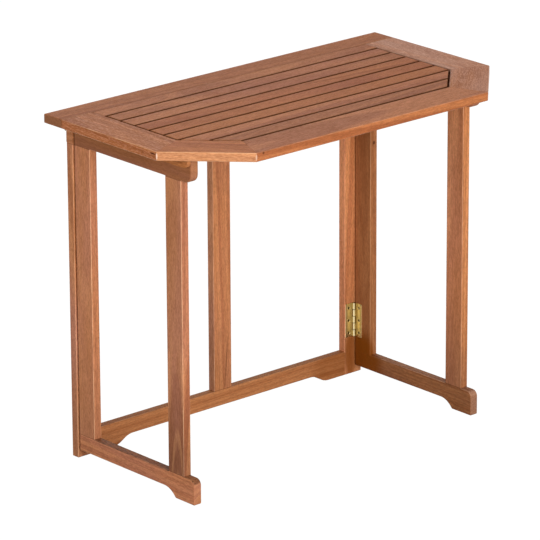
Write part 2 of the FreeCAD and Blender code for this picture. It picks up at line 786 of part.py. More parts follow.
nodes["leaf_hinge_leaves"] = both_ends(on_leaf(leaf_hinge.leaf(False)))
nodes["leaf_hinge_screws"] = both_ends(on_leaf(leaf_hinge.screws()))
nodes["board_hinge_leaves"] = both_ends(on_board(leaf_hinge.leaf(True)))
nodes["board_hinge_screws"] = both_ends(on_board(leaf_hinge.screws()))
nodes["leaf_hinge_pins"] = both_ends(on_board(leaf_hinge.pin()))


os.makedirs("parts", exist_ok=True)
for name, shape in nodes.items():
    shape.exportStep("parts/%s.step" % name)
    print(name, len(shape.Solids), "solids", round(shape.Volume / 1000, 2), "cm3", shape.isValid())
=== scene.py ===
# %% [markdown]
# # A folding console table
# This lesson dresses a small wall table: a slatted half-octagon top on two swinging gate legs.
# The shapes come ready made, as solids at their real size, so the work here is the timber, the
# brass, the screws, the light and the camera. Every object sits at the origin in metres, with
# +Z up and the front of the table at -Y, so nothing has to be fitted afterwards.

# %% Load the table
import json
import math
import random

import bmesh
import bpy
from mathutils import Euler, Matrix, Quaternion, Vector


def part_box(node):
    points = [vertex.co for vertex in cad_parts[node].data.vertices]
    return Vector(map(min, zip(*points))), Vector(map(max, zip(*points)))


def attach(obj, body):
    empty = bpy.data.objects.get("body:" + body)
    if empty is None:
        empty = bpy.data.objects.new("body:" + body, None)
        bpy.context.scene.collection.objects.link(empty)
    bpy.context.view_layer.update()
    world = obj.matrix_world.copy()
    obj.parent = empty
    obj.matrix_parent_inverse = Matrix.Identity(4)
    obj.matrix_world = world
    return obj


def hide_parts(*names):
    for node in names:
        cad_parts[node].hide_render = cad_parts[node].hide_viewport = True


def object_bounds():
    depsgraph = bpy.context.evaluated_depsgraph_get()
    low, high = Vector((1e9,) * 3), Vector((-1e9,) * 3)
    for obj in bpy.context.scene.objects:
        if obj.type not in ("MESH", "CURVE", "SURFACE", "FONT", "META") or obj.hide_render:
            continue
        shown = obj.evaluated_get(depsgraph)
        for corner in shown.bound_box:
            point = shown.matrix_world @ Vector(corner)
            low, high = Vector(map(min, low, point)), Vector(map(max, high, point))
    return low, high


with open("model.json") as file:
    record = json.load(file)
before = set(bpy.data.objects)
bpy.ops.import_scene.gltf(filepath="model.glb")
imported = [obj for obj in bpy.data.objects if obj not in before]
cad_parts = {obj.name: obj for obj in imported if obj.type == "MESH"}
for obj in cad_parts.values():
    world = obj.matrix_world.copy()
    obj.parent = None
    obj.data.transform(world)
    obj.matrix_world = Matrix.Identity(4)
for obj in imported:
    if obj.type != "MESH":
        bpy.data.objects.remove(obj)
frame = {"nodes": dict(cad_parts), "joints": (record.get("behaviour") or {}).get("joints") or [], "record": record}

cad_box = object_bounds()
table_low, table_high = cad_box
table_middle = (table_low + table_high) / 2
print("table", [round(side, 3) for side in table_high - table_low], "m,", len(frame["nodes"]), "pieces")

# %% [markdown]
# ## The camera
# The table is seen from its front left and a little from above, through a very long lens, which keeps
# the uprights nearly parallel. The camera could be aimed by a constraint at an empty. A place, two
# angles and a small roll say the same in plain numbers, and leave nothing to solve.

# %% Camera
IMAGE_PIXELS = 540
SENSOR_WIDTH = 36.0
FAR_CLIP = 100.0
focal_length_pixels = 4500
camera_place = Vector((-5.807, -6.5115, 3.315))
camera_azimuth = math.radians(-41.41)
camera_pitch = math.radians(18.63)
camera_roll = math.radians(-0.27)

camera_data = bpy.data.cameras.new("portrait_camera")
camera_data.sensor_width = SENSOR_WIDTH
camera_data.lens = focal_length_pixels / IMAGE_PIXELS * SENSOR_WIDTH
camera_data.clip_end = FAR_CLIP
camera = bpy.data.objects.new("portrait_camera", camera_data)
camera.location = camera_place
aim = Euler((math.pi / 2 - camera_pitch, 0, camera_azimuth)).to_quaternion()
camera.rotation_mode = "QUATERNION"
camera.rotation_quaternion = aim @ Quaternion((0, 0, 1), camera_roll)
bpy.context.scene.collection.objects.link(camera)
bpy.context.scene.camera = camera
bpy.context.scene.view_settings.view_transform = "Standard"
print("lens", round(camera_data.lens, 1), "mm")

# %% [markdown]
# ## Writing nodes like sums
# A material in Blender is a graph of nodes. Built step by step in a script, it is hard to read: each
# node needs a line to make it and more lines to link it. This helper wraps a node tree, so that a node
# is one call that takes sockets or plain values and gives back a socket, like a sum on paper.

# %% Node helper
class Graph:
    """A node tree whose nodes are added by calls that take and give sockets."""

    def __init__(self, tree):
        self.tree = tree

    def feed(self, socket, source):
        """Link a socket to another one, or set its plain value."""
        if isinstance(source, bpy.types.NodeSocket):
            self.tree.links.new(source, socket)
        else:
            socket.default_value = source

    def fill(self, node, **sources):
        """Feed the inputs of a node by their names, such as base_color for Base Color."""
        for name, source in sources.items():
            self.feed(node.inputs[name.replace("_", " ").title()], source)

    def add(self, kind, settings=None, *values, **sources):
        """A new node with these settings, whose inputs are fed in order or by name."""
        node = self.tree.nodes.new(kind)
        for name, value in (settings or {}).items():
            setattr(node, name, value)
        for socket, value in zip(node.inputs, values):
            self.feed(socket, value)
        self.fill(node, **sources)
        return node

    def calc(self, operation, *values):
        return self.add("ShaderNodeMath", {"operation": operation}, *values).outputs[0]

    def times(self, first, second):
        return self.calc("MULTIPLY", first, second)

    def plus(self, first, second):
        return self.calc("ADD", first, second)

    def minus(self, first, second):
        return self.calc("SUBTRACT", first, second)

    def absolute(self, value):
        return self.calc("ABSOLUTE", value)

    def vector(self, operation, *values, output="Vector"):
        return self.add("ShaderNodeVectorMath", {"operation": operation}, *values).outputs[output]

    def length(self, vector):
        return self.vector("LENGTH", vector, output="Value")

    def dot(self, first, second):
        return self.vector("DOT_PRODUCT", first, second, output="Value")

    def parts(self, vector):
        return self.add("ShaderNodeSeparateXYZ", {}, vector).outputs

    def join(self, x=0.0, y=0.0, z=0.0):
        return self.add("ShaderNodeCombineXYZ", {}, x, y, z).outputs[0]


print("node helper ready")

# %% [markdown]
# ## Noise, ramps and colours
# Natural finishes come from a few building blocks: soft noise that is stretched along the grain, ramps
# that turn part of it into a mask, and mixes of colours. They extend the helper. Colours are written
# as they look on a screen and decoded once, because shaders work with linear light.

# %% Texture helper
PLAIN_DETAIL, FINE_DETAIL = 2.0, 3.0


class Finish(Graph):
    """A node tree with the blocks that finishes are made of."""

    def coordinates(self):
        """Places and normals in the table's own axes."""
        return self.add("ShaderNodeTexCoord").outputs

    def noise(self, place, stretch, detail=PLAIN_DETAIL):
        """Soft noise, with so many features a metre along each axis."""
        node = self.add("ShaderNodeTexNoise", {"noise_dimensions": "3D"}, scale=1.0, detail=detail)
        self.fill(node, vector=self.vector("MULTIPLY", place, stretch))
        return node.outputs["Fac"]

    def noise_along(self, distance):
        """Soft noise along one number."""
        node = self.add("ShaderNodeTexNoise", {"noise_dimensions": "1D"}, scale=1.0, detail=PLAIN_DETAIL)
        self.fill(node, w=distance)
        return node.outputs["Fac"]

    def ramp(self, value, low, high, out_low=0.0, out_high=1.0):
        """Smooth step from out_low to out_high while the value goes from low to high."""
        node = self.add("ShaderNodeMapRange", {"interpolation_type": "SMOOTHSTEP"})
        self.fill(node, value=value, from_min=low, from_max=high, to_min=out_low, to_max=out_high)
        return node.outputs["Result"]

    def blend(self, share, first, second, mode="MIX"):
        """Mix two colours."""
        node = self.add("ShaderNodeMix", {"data_type": "RGBA", "blend_type": mode}, share)
        colours = [socket for socket in node.inputs if socket.type == "RGBA"]
        self.feed(colours[0], first)
        self.feed(colours[1], second)
        return next(socket for socket in node.outputs if socket.type == "RGBA")

    def grey(self, value):
        """A grey of this brightness, which may be over 1."""
        return self.add("ShaderNodeCombineColor", {}, value, value, value).outputs[0]

    def bump(self, height, strength, depth):
        """Normals that follow a height, which is so many metres deep."""
        return self.add("ShaderNodeBump", height=height, strength=strength, distance=depth).outputs["Normal"]

    def place(self, tree, **inputs):
        """A node group in this graph, with its inputs fed by name."""
        return self.add("ShaderNodeGroup", {"node_tree": tree}, **inputs).outputs


def screen(red, green, blue):
    """Screen colour, 0 to 255, as the linear colour that a shader takes."""
    def decode(value):
        share = value / 255
        return share / 12.92 if share <= 0.04045 else ((share + 0.055) / 1.055) ** 2.4
    return (decode(red), decode(green), decode(blue), 1.0)


def new_material(name):
    """A material with its graph and its shader."""
    material = bpy.data.materials.new(name)
    material.use_nodes = True
    graph = Finish(material.node_tree)
    return material, graph, graph.tree.nodes["Principled BSDF"]


print("mid grey is", round(screen(128, 128, 128)[0], 3), "in linear light")

# %% [markdown]
# ## Node groups for effects that materials share
# Grain and worn edges appear on every plank. Each is a node group: a little tree with named inputs and
# outputs that is built once and placed in any material with its own values. A group puts out only
# masks and heights here. The shader itself stays in the material. Geometry Nodes trees are groups too,
# so the same function serves for the screws later on.

# %% Making a group
SOCKET_KINDS = {
    "value": "NodeSocketFloat", "vector": "NodeSocketVector", "whole number": "NodeSocketInt",
    "geometry": "NodeSocketGeometry", "material": "NodeSocketMaterial"}


def new_group(name, inputs, outputs, tree_kind="ShaderNodeTree"):
    """An empty node group with these sockets, as its graph, input sockets and output sockets."""
    tree = bpy.data.node_groups.new(name, tree_kind)
    for in_out, sockets in (("INPUT", inputs), ("OUTPUT", outputs)):
        for label, kind in sockets.items():
            tree.interface.new_socket(label, in_out=in_out, socket_type=SOCKET_KINDS[kind])
    graph = Finish(tree)
    return graph, graph.add("NodeGroupInput").outputs, graph.add("NodeGroupOutput").inputs


print("group sockets:", ", ".join(SOCKET_KINDS))

# %% [markdown]
# ### Timber figure
# The table is oiled hardwood. A plank is sawn out of a tree, so its figure is a slice through growth
# rings: long flames on one face, stripes on the next and arcs on the end. A flat picture of wood can't
# turn a corner like that. So the figure is solid: the distance from the tree's heart, bent by noise,
# gives the rings. The heart runs at a slight tilt to the plank, which makes the flames. Noise that is
# stretched along the grain gives short fibres, pores and the odd dark streak.

# %% Timber figure group
SEED_STEP = (3.7, 1.9, 2.3)
RING_WANDER = 0.022
RING_RIPPLE = 0.003
RINGS_BETWEEN_SEEDS = 31.0
# Features a metre of each noise along the grain and across it, and its detail
NOISES = {
    "bend": (1.6, 14.0, 2.0), "ripple": (9.0, 60.0, 2.0), "short fibres": (30.0, 420.0, 3.0),
    "fine fibres": (75.0, 1100.0, 2.0), "flecks": (140.0, 420.0, 2.0), "pores": (130.0, 2300.0, 1.0),
    "clouds": (2.5, 16.0, 2.0), "streaks": (1.2, 55.0, 3.0)}
# Between which values of its noise each mask goes from 0 to 1
MASK_SPANS = {
    "rings": (0.25, 0.75), "fibres": (1.15, 1.85), "pores": (0.58, 0.70), "clouds": (0.3, 0.7),
    "streaks": (0.62, 0.76)}


def grain_noise(graph, place, kind):
    """Noise of this kind, stretched along the grain."""
    along, across, detail = NOISES[kind]
    return graph.noise(place, (along, across, across), detail)


graph, given, result = new_group(
    "timber_figure",
    {"Place": "vector", "Heart": "vector", "Seed": "value", "Tilt": "value", "Ring Width": "value"},
    {"Rings": "value", "Fibres": "value", "Pores": "value", "Clouds": "value", "Streaks": "value"})

seed_shift = graph.vector("MULTIPLY", SEED_STEP, graph.join(given["Seed"], given["Seed"], given["Seed"]))
shifted = graph.vector("ADD", given["Place"], seed_shift)
lean = graph.join(z=graph.times(graph.parts(given["Place"])["X"], given["Tilt"]))
from_heart = graph.vector("ADD", graph.vector("ADD", given["Place"], given["Heart"]), lean)
radius = graph.length(graph.vector("MULTIPLY", from_heart, (0.0, 1.0, 1.0)))
for kind, reach in (("bend", RING_WANDER), ("ripple", RING_RIPPLE)):
    wander = graph.minus(grain_noise(graph, shifted, kind), 0.5)
    radius = graph.plus(radius, graph.times(wander, reach))
ring_count = graph.calc("DIVIDE", radius, given["Ring Width"])
ring_count = graph.plus(ring_count, graph.times(given["Seed"], RINGS_BETWEEN_SEEDS))
fibre_sum = grain_noise(graph, shifted, "short fibres")
for kind in ("fine fibres", "flecks"):
    fibre_sum = graph.plus(fibre_sum, grain_noise(graph, shifted, kind))
sources = {"rings": graph.noise_along(ring_count), "fibres": fibre_sum}
for kind, span in MASK_SPANS.items():
    source = sources[kind] if kind in sources else grain_noise(graph, shifted, kind)
    graph.feed(result[kind.title()], graph.ramp(source, *span))
timber_figure = graph.tree
print("timber_figure:", len(timber_figure.nodes), "nodes")

# %% [markdown]
# ### Worn and highlighted edges, end grain and joint lines
# Hands, sandpaper and oil leave the eased edges of a plank paler than its faces, and the highlight that they catch
# is painted on as well. The cut ends are dry. Both can be told from the way a surface faces. On a rounded long
# edge the normal leans two ways across the grain, and on a cut end it lies along the grain. Where a plank butts
# against another, dirt draws a thin dark line, so the group also marks the last hair's breadth of its length.

# %% Edge, end and joint group
JOINT_LINE = 0.0014
EDGE_LEAN = (0.36, 0.64)
END_LEAN = (0.5, 0.95)
PATCH_STRETCH = (22.0, 60.0, 60.0)
PATCH_SPAN = (0.35, 0.65)
LEAST_PALE_EDGE = 0.3
graph, given, result = new_group(
    "edges_and_ends",
    {"Place": "vector", "Facing": "vector", "Half Length": "value"},
    {"Edge": "value", "End": "value", "Joint": "value"})
facing = graph.parts(given["Facing"])
lean_least = graph.calc("MINIMUM", graph.absolute(facing["Y"]), graph.absolute(facing["Z"]))
rounded = graph.ramp(lean_least, *EDGE_LEAN)
patchy = graph.ramp(graph.noise(given["Place"], PATCH_STRETCH, FINE_DETAIL), *PATCH_SPAN, LEAST_PALE_EDGE, 1.0)
graph.feed(result["Edge"], graph.times(rounded, patchy))
graph.feed(result["End"], graph.ramp(graph.absolute(facing["X"]), *END_LEAN))
to_end = graph.minus(given["Half Length"], graph.absolute(graph.parts(given["Place"])["X"]))
graph.feed(result["Joint"], graph.ramp(to_end, JOINT_LINE, JOINT_LINE / 3))
edges_and_ends = graph.tree
print("edges_and_ends:", len(edges_and_ends.nodes), "nodes")

# %% [markdown]
# ## Which way the grain runs
# Figure is worked out along the grain, so each plank needs axes of its own: X along the grain, from
# the plank's middle. A Mapping node of the Texture kind does that, as if the plank were laid on a
# bench. Normals are turned back by the same angle. The grain follows the longest side of a plank, and
# the two corner rails lie at 45 degrees.

# %% Grain
GRAIN_TURNS = {
    "length": (0, 0, 0),
    "depth": (0, 0, math.pi / 2),
    "height": (0, -math.pi / 2, 0),
    "left corner": (0, 0, -math.pi / 4),
    "right corner": (0, 0, math.pi / 4),
}


def grain_of(name):
    """Which way the grain runs in a plank."""
    if "corner" in name:
        return "left corner" if "left" in name else "right corner"
    low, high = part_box(name)
    size = high - low
    return ("length", "depth", "height")[max(range(3), key=lambda axis: size[axis])]


def plank_axes(graph, name):
    """Table coordinates and normals, then the same along the grain of a plank."""
    low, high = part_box(name)
    turn = GRAIN_TURNS[grain_of(name)]
    coordinates = graph.coordinates()
    bench = graph.add(
        "ShaderNodeMapping", {"vector_type": "TEXTURE"}, vector=coordinates["Object"],
        location=(low + high) / 2, rotation=turn)
    facing = graph.add(
        "ShaderNodeMapping", {"vector_type": "VECTOR"}, vector=coordinates["Normal"],
        rotation=[-angle for angle in turn])
    return coordinates["Object"], coordinates["Normal"], bench.outputs[0], facing.outputs[0]


slots = {entry["node"]: entry["material_slot"] for entry in frame["record"]["subparts"]}
planks = sorted(name for name, slot in slots.items() if slot in ("top_wood", "frame_wood", "batten_wood"))
print(len(planks), "planks;", sum(grain_of(name) == "height" for name in planks), "of them stand upright")

# %% [markdown]
# ## Painted shade in the gaps
# The slats lie a few millimetres apart, and their sides stand in the shade of the gaps between them. That shade is
# painted on in dark brown, so that the top reads as a row of crisp lines. A side that faces a gap is known by its
# normal. This table says which ways each piece of the top faces a gap. Ends that face left or right catch more
# light, so they get less painted shade than the long sides. The tongues on the slats' ends look up out of a gap
# too. They get the darkest painted shade, and they are known by lying deeper than the top.

# %% Gap sides
LEFT, RIGHT, FRONT, BACK = Vector((-1, 0, 0)), Vector((1, 0, 0)), Vector((0, -1, 0)), Vector((0, 1, 0))
UP = Vector((0, 0, 1))
FACING_SPAN = (0.15, 0.5)
TONGUE_DROP = 0.003
# Strength of the painted shade on long sides that face a gap, and the weaker painted shade on ends
SIDE_GAP_SHADE, END_GAP_SHADE = 0.85, 0.30
GAP_SIDES = {
    "leaf_rear_rail": [FRONT, BACK],
    "leaf_left_side_rail": [BACK],
    "leaf_right_side_rail": [BACK],
    "leaf_left_corner_rail": [(RIGHT + BACK).normalized()],
    "leaf_right_corner_rail": [(LEFT + BACK).normalized()],
    "leaf_front_rail": [BACK],
}
for name in planks:
    if name.startswith("slat"):
        GAP_SIDES[name] = [FRONT, BACK, LEFT, RIGHT]


def faces(graph, normal, sides):
    """1 where a surface faces one of these sides, fading out on its eased edge."""
    squarely = graph.dot(normal, sides[0])
    for side in sides[1:]:
        squarely = graph.calc("MAXIMUM", squarely, graph.dot(normal, side))
    return graph.ramp(squarely, *FACING_SPAN)


def in_gap(graph, name, place, normal):
    """How much painted shade the sides of a plank that face a gap get, and what lies sunk in one."""
    gap_shade_strength = graph.ramp(faces(graph, normal, [LEFT, RIGHT]), 0, 1, SIDE_GAP_SHADE, END_GAP_SHADE)
    sides = graph.times(faces(graph, normal, GAP_SIDES[name]), gap_shade_strength)
    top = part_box(name)[1].z
    sunk = graph.ramp(graph.parts(place)["Z"], top - TONGUE_DROP / 2, top - TONGUE_DROP)
    sunk = graph.times(sunk, faces(graph, normal, [UP]))
    return graph.calc("MAXIMUM", sides, sunk)


print(len(GAP_SIDES), "pieces border on a gap")

# %% [markdown]
# ## Knots, scars, stains, painted shade and highlights
# A few marks make a plank this plank and no other: a pin knot in one stile, a plugged slot beside a mitre, a chip,
# a dark streak low on the middle post, old oil and painted shade in the corner under the hinge, painted shade
# along the seam behind the leaf, and a painted white highlight on two corners of the top. Each is an ellipsoid of
# another colour at a place in the table's own coordinates, made by one Mapping node whose scale is the mark's
# reach. Where it comes to the surface it shows as a soft-edged spot or line.

# %% Marks
MARK_CORE = 0.55
# Each mark has its colour, middle, reach and strength, and how far it leans if it does
# Old oil and painted shade in the corner under the hinge, where post and gate meet
CORNER_STAIN_AND_SHADE = ("stain", (0.3740, 0.2120, 0.035), (0.014, 0.095, 0.085), 0.88)
# Painted white highlights on the rounded upright corners at both ends of the left corner rail
CORNER_GLINTS = [
    ("glint", (-0.4495, -0.1055, 0.7345), (0.0022, 0.0022, 0.0080), 0.6),
    ("glint", (-0.3120, -0.2430, 0.7345), (0.0022, 0.0022, 0.0080), 0.3)]
MARKS = {
    "right_gate_inner_stile": [
        ("streak", (0.3826, 0.1733, 0.528), (0.0042, 0.012, 0.0050), 0.85),
        # Darker towards the hinge: stain and painted corner shade down the inner face
        ("stain", (0.3730, 0.1960, 0.360), (0.012, 0.060, 0.500), 0.2), CORNER_STAIN_AND_SHADE],
    "right_gate_bottom_rail": [CORNER_STAIN_AND_SHADE],
    # Stain and painted corner shade at the foot of the post, beside the gate
    "rear_right_post": [("stain", (0.3640, 0.2235, 0.045), (0.020, 0.012, 0.070), 0.7)],
    "leaf_left_side_rail": [
        ("streak", (-0.450, -0.0945, 0.7378), (0.006, 0.0100, 0.0022), 1.0),
        ("streak", (-0.450, -0.0650, 0.7345), (0.004, 0.0012, 0.0130), 0.5), *CORNER_GLINTS],
    "leaf_left_corner_rail": CORNER_GLINTS,
    # Painted shade along the seam between the rear board and the leaf
    "rear_board": [("streak", (0.0, 0.1870, 0.7440), (0.60, 0.0030, 0.0040), 0.35)],
    "leaf_front_rail": [
        ("streak", (-0.2945, -0.2435, 0.7405), (0.0035, 0.006, 0.0032), 0.8), *CORNER_GLINTS],
    # Stain and painted corner shade at the right end of the rail, by the post
    "rear_bottom_rail": [("stain", (0.3460, 0.2235, 0.030), (0.120, 0.010, 0.060), 0.4)],
    "rear_middle_post": [("streak", (0.0090, 0.2235, 0.110), (0.0016, 0.006, 0.065), 0.6, 0.08)],
}


def mark(graph, place, centre, reach, lean=0.0):
    """1 inside an ellipsoid that leans about the depth axis, with a soft edge."""
    from_centre = graph.add(
        "ShaderNodeMapping", {"vector_type": "TEXTURE"}, vector=place, location=centre,
        rotation=(0, lean, 0), scale=reach)
    return graph.ramp(graph.length(from_centre.outputs[0]), 1.0, MARK_CORE)


print(sum(len(marks) for marks in MARKS.values()), "marks on", len(MARKS), "planks")

# %% [markdown]
# ## Oiled timber
# One function makes the timber of every plank. It starts from planed wood, with deep and pale rings, rosy clouds
# and short fibres. Then it lays other colours over that, one by one: dark streaks and pores, painted sparkle,
# clouds of painted sheen, dry ends, pale edges that are wear with a painted highlight, sides with painted sheen,
# painted light and painted shade, joint lines, painted shade at the foot of the legs, painted shade in the gaps,
# and marks. The oil is thin and matt, so the sheen is weak and the pores show in the bump, but rubbed edges are
# polished, which is a little clear coat there. One material with a random colour for each object would be shorter,
# but each plank's own place in the tree, its tone and its marks are what make the top look sawn and joined.

# %% Timber material
# Besides the wood's own colours, these hold a dark brown for painted shade in the gaps, another dark brown for
# painted shade elsewhere, an orange brown for stains and painted corner shade, a near white for painted
# highlights, a warm pale for painted light, a pale pink for fading and painted sheen, and a pale tan for worn
# edges and their painted highlight
TOP_WOOD = {
    "deep": screen(146, 80, 44), "pale": screen(196, 124, 76), "rosy": screen(166, 96, 66),
    "streak": screen(84, 42, 23), "worn": screen(236, 186, 140), "gap": screen(58, 28, 12),
    "bleached": screen(230, 192, 172), "stain": screen(124, 62, 0), "painted_shade": screen(70, 42, 24),
    "dry": screen(112, 88, 68), "glint": screen(252, 226, 204), "painted_light": screen(252, 160, 116)}
FRAME_WOOD = dict(TOP_WOOD, deep=screen(156, 91, 52), pale=screen(208, 140, 90), rosy=screen(182, 118, 95))
FIBRE_DEPTH = 0.16
# Heights between which the painted shade at the foot of the legs fades out
FOOT_SHADE_LOW, FOOT_SHADE_TOP = 0.02, 0.29
FLAME_LOW, FLAME_TOP = 0.22, 0.36
# Strength of the pores, and of the painted shade in the gaps
PORE_STRENGTH, GAP_STRENGTH = 0.35, 0.93
# Where the brightest fibres get painted sparkle, pale flecks that stand for highlights
SPARKLE_SPAN = (0.55, 0.85)
# Least share of a side layer, where the fibres are darkest
LEAST_SIDE_SHARE = 0.5
EDGE_POLISH = 0.6
POLISH_ROUGHNESS = 0.28
BARE_ROUGHNESS, OILED_ROUGHNESS = 0.58, 0.48
END_ROUGHNESS, GAP_ROUGHNESS = 0.15, 0.45
PORE_BUMP, PORE_DEPTH = 0.25, 0.0003


def planed_colour(graph, figure, height, look, colours):
    """Colour of planed wood: deep and pale rings, rosy clouds and short fibres."""
    half = graph.ramp(height, FLAME_TOP, FLAME_LOW, look["figure"] / 2, look["flame"] / 2)
    ring_share = graph.ramp(figure["Rings"], 0, 1, graph.minus(0.5, half), graph.plus(0.5, half))
    colour = graph.blend(ring_share, colours["deep"], colours["pale"])
    colour = graph.blend(graph.times(figure["Clouds"], look["rose"]), colour, colours["rosy"])
    darkest, lightest = look["tone"] * (1 - FIBRE_DEPTH), look["tone"] * (1 + FIBRE_DEPTH)
    fibre_light = graph.grey(graph.ramp(figure["Fibres"], 0, 1, darkest, lightest))
    return graph.blend(1.0, colour, fibre_light, "MULTIPLY")


def side_layers(graph, figure, normal, look):
    """Layers on whole sides, in patches that follow the fibres: painted sheen on faces that look up or left, and
    the sides listed in a plank's look.
    """
    patchy = graph.plus(figure["Fibres"], LEAST_SIDE_SHARE)
    # Painted sheen on faces that look up or to the left
    sheen_on_sides = [("bleached", UP, look["above"]), ("bleached", LEFT, look["left"])]
    layers = []
    for over, side, strength in look["sides"] + sheen_on_sides:
        if strength:
            layers.append((graph.times(faces(graph, normal, [side]), patchy), strength, over))
    return layers


def timber(name, look, colours):
    """Oiled wood for one plank, with its own look."""
    material, graph, shader = new_material("timber_" + name)
    place, normal, bench, facing = plank_axes(graph, name)
    figure = graph.place(
        timber_figure, place=bench, heart=look["heart"], seed=look["seed"], tilt=look["tilt"],
        ring_width=look["ring_width"])
    low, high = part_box(name)
    worn = graph.place(edges_and_ends, place=bench, facing=facing, half_length=max(high - low) / 2)
    height = graph.parts(place)["Z"]
    polish = graph.times(worn["Edge"], EDGE_POLISH)
    rough = graph.ramp(figure["Fibres"], 0, 1, BARE_ROUGHNESS, OILED_ROUGHNESS)
    rough = graph.plus(rough, graph.times(worn["End"], END_ROUGHNESS))

    # Each layer has the share of the surface that it covers, its strength and its colour
    layers = [
        (figure["Streaks"], look["streaks"], "streak"),
        (figure["Pores"], PORE_STRENGTH, "streak"),
        # Painted sparkle: pale flecks of highlight in the brightest fibres
        (graph.ramp(figure["Fibres"], *SPARKLE_SPAN), look["painted_sparkle"], "glint"),
        # Clouds of painted sheen, used on the right end of the top
        (figure["Clouds"], look["sheen_clouds"], "bleached"),
        (worn["End"], *look["end"]),
        # Pale eased edges: wear, with the highlight that they catch painted on
        (worn["Edge"], look["pale_edges"], "worn"),
        # Painted sheen, painted light, painted shade and stains on whole sides
        *side_layers(graph, figure, normal, look),
        (worn["Joint"], look["joint"], "streak"),
        # Painted shade at the foot of the legs
        (graph.ramp(height, FOOT_SHADE_TOP, FOOT_SHADE_LOW), look["painted_shade"], "painted_shade"),
    ]
    if name in GAP_SIDES:
        gap = in_gap(graph, name, place, normal)
        # Painted shade on the sides that face a gap and on the tongues sunk in one
        layers.append((gap, GAP_STRENGTH, "gap"))
        polish = graph.times(polish, graph.minus(1.0, gap))
        rough = graph.plus(rough, graph.times(gap, GAP_ROUGHNESS))
    for over, centre, reach, strength, *lean in MARKS.get(name, []):
        layers.append((mark(graph, place, centre, reach, *lean), strength, over))
    colour = planed_colour(graph, figure, height, look, colours)
    for share, strength, over in layers:
        if strength:
            colour = graph.blend(graph.times(share, strength), colour, colours[over])

    relief = graph.bump(graph.minus(figure["Fibres"], figure["Pores"]), PORE_BUMP, PORE_DEPTH)
    graph.fill(shader, base_color=colour, roughness=rough, normal=relief)
    graph.fill(shader, coat_weight=polish, coat_roughness=POLISH_ROUGHNESS)
    shader.inputs["Specular IOR Level"].default_value = look["sheen"]
    return material


print("hardwood colours:", ", ".join(TOP_WOOD))

# %% [markdown]
# ## A look for each plank
# Boards for one table are sorted, but never matched: some are tan, some rosy, and the odd one is pale or dark. A
# fixed seed deals out hearts, tilts and tones, so the table is the same on every run. Planks that stand out on the
# real table have part of their look listed: a darker right gate, painted sheen and sparkle on the right end of the
# top, painted shade on the tops of the low rails, and a flame low in one stile, which is cut close to the heart of
# its tree. Sides with painted sheen, painted light, painted shade and stains are named with their colour and its
# strength.

# %% Planks
BATTEN_WOOD = dict(
    TOP_WOOD, deep=screen(152, 90, 46), pale=screen(200, 132, 76), rosy=screen(174, 106, 62))
WOODS = {"top_wood": TOP_WOOD, "frame_wood": FRAME_WOOD, "batten_wood": BATTEN_WOOD}
# A plain plank has no painted sheen, sparkle or shade, and faintly paler ends
PLAIN_LOOK = {
    "tone": 1.0, "figure": 0.5, "flame": 0.5, "streaks": 0.35, "sheen_clouds": 0.0, "painted_sparkle": 0.0, "sides": [],
    "above": 0.0, "left": 0.0, "painted_shade": 0.0, "joint": 0.0, "pale_edges": 0.4, "sheen": 0.05,
    "end": (0.04, "bleached")}
# Top planks get a little painted sheen on faces that look up, and dry ends
TOP_LOOK = {"streaks": 0.2, "pale_edges": 0.7, "sheen": 0.06, "end": (0.45, "dry"), "above": 0.05}
# Uprights get painted shade at the foot, a little painted sheen on faces that look left, and joint lines
UPRIGHT_LOOK = {"painted_shade": 0.2, "left": 0.05, "joint": 0.75}
# Outer stiles get more painted shade at the foot
OUTER_FOOT_SHADE = 0.45
LEFT_PALE_EDGES = 0.7
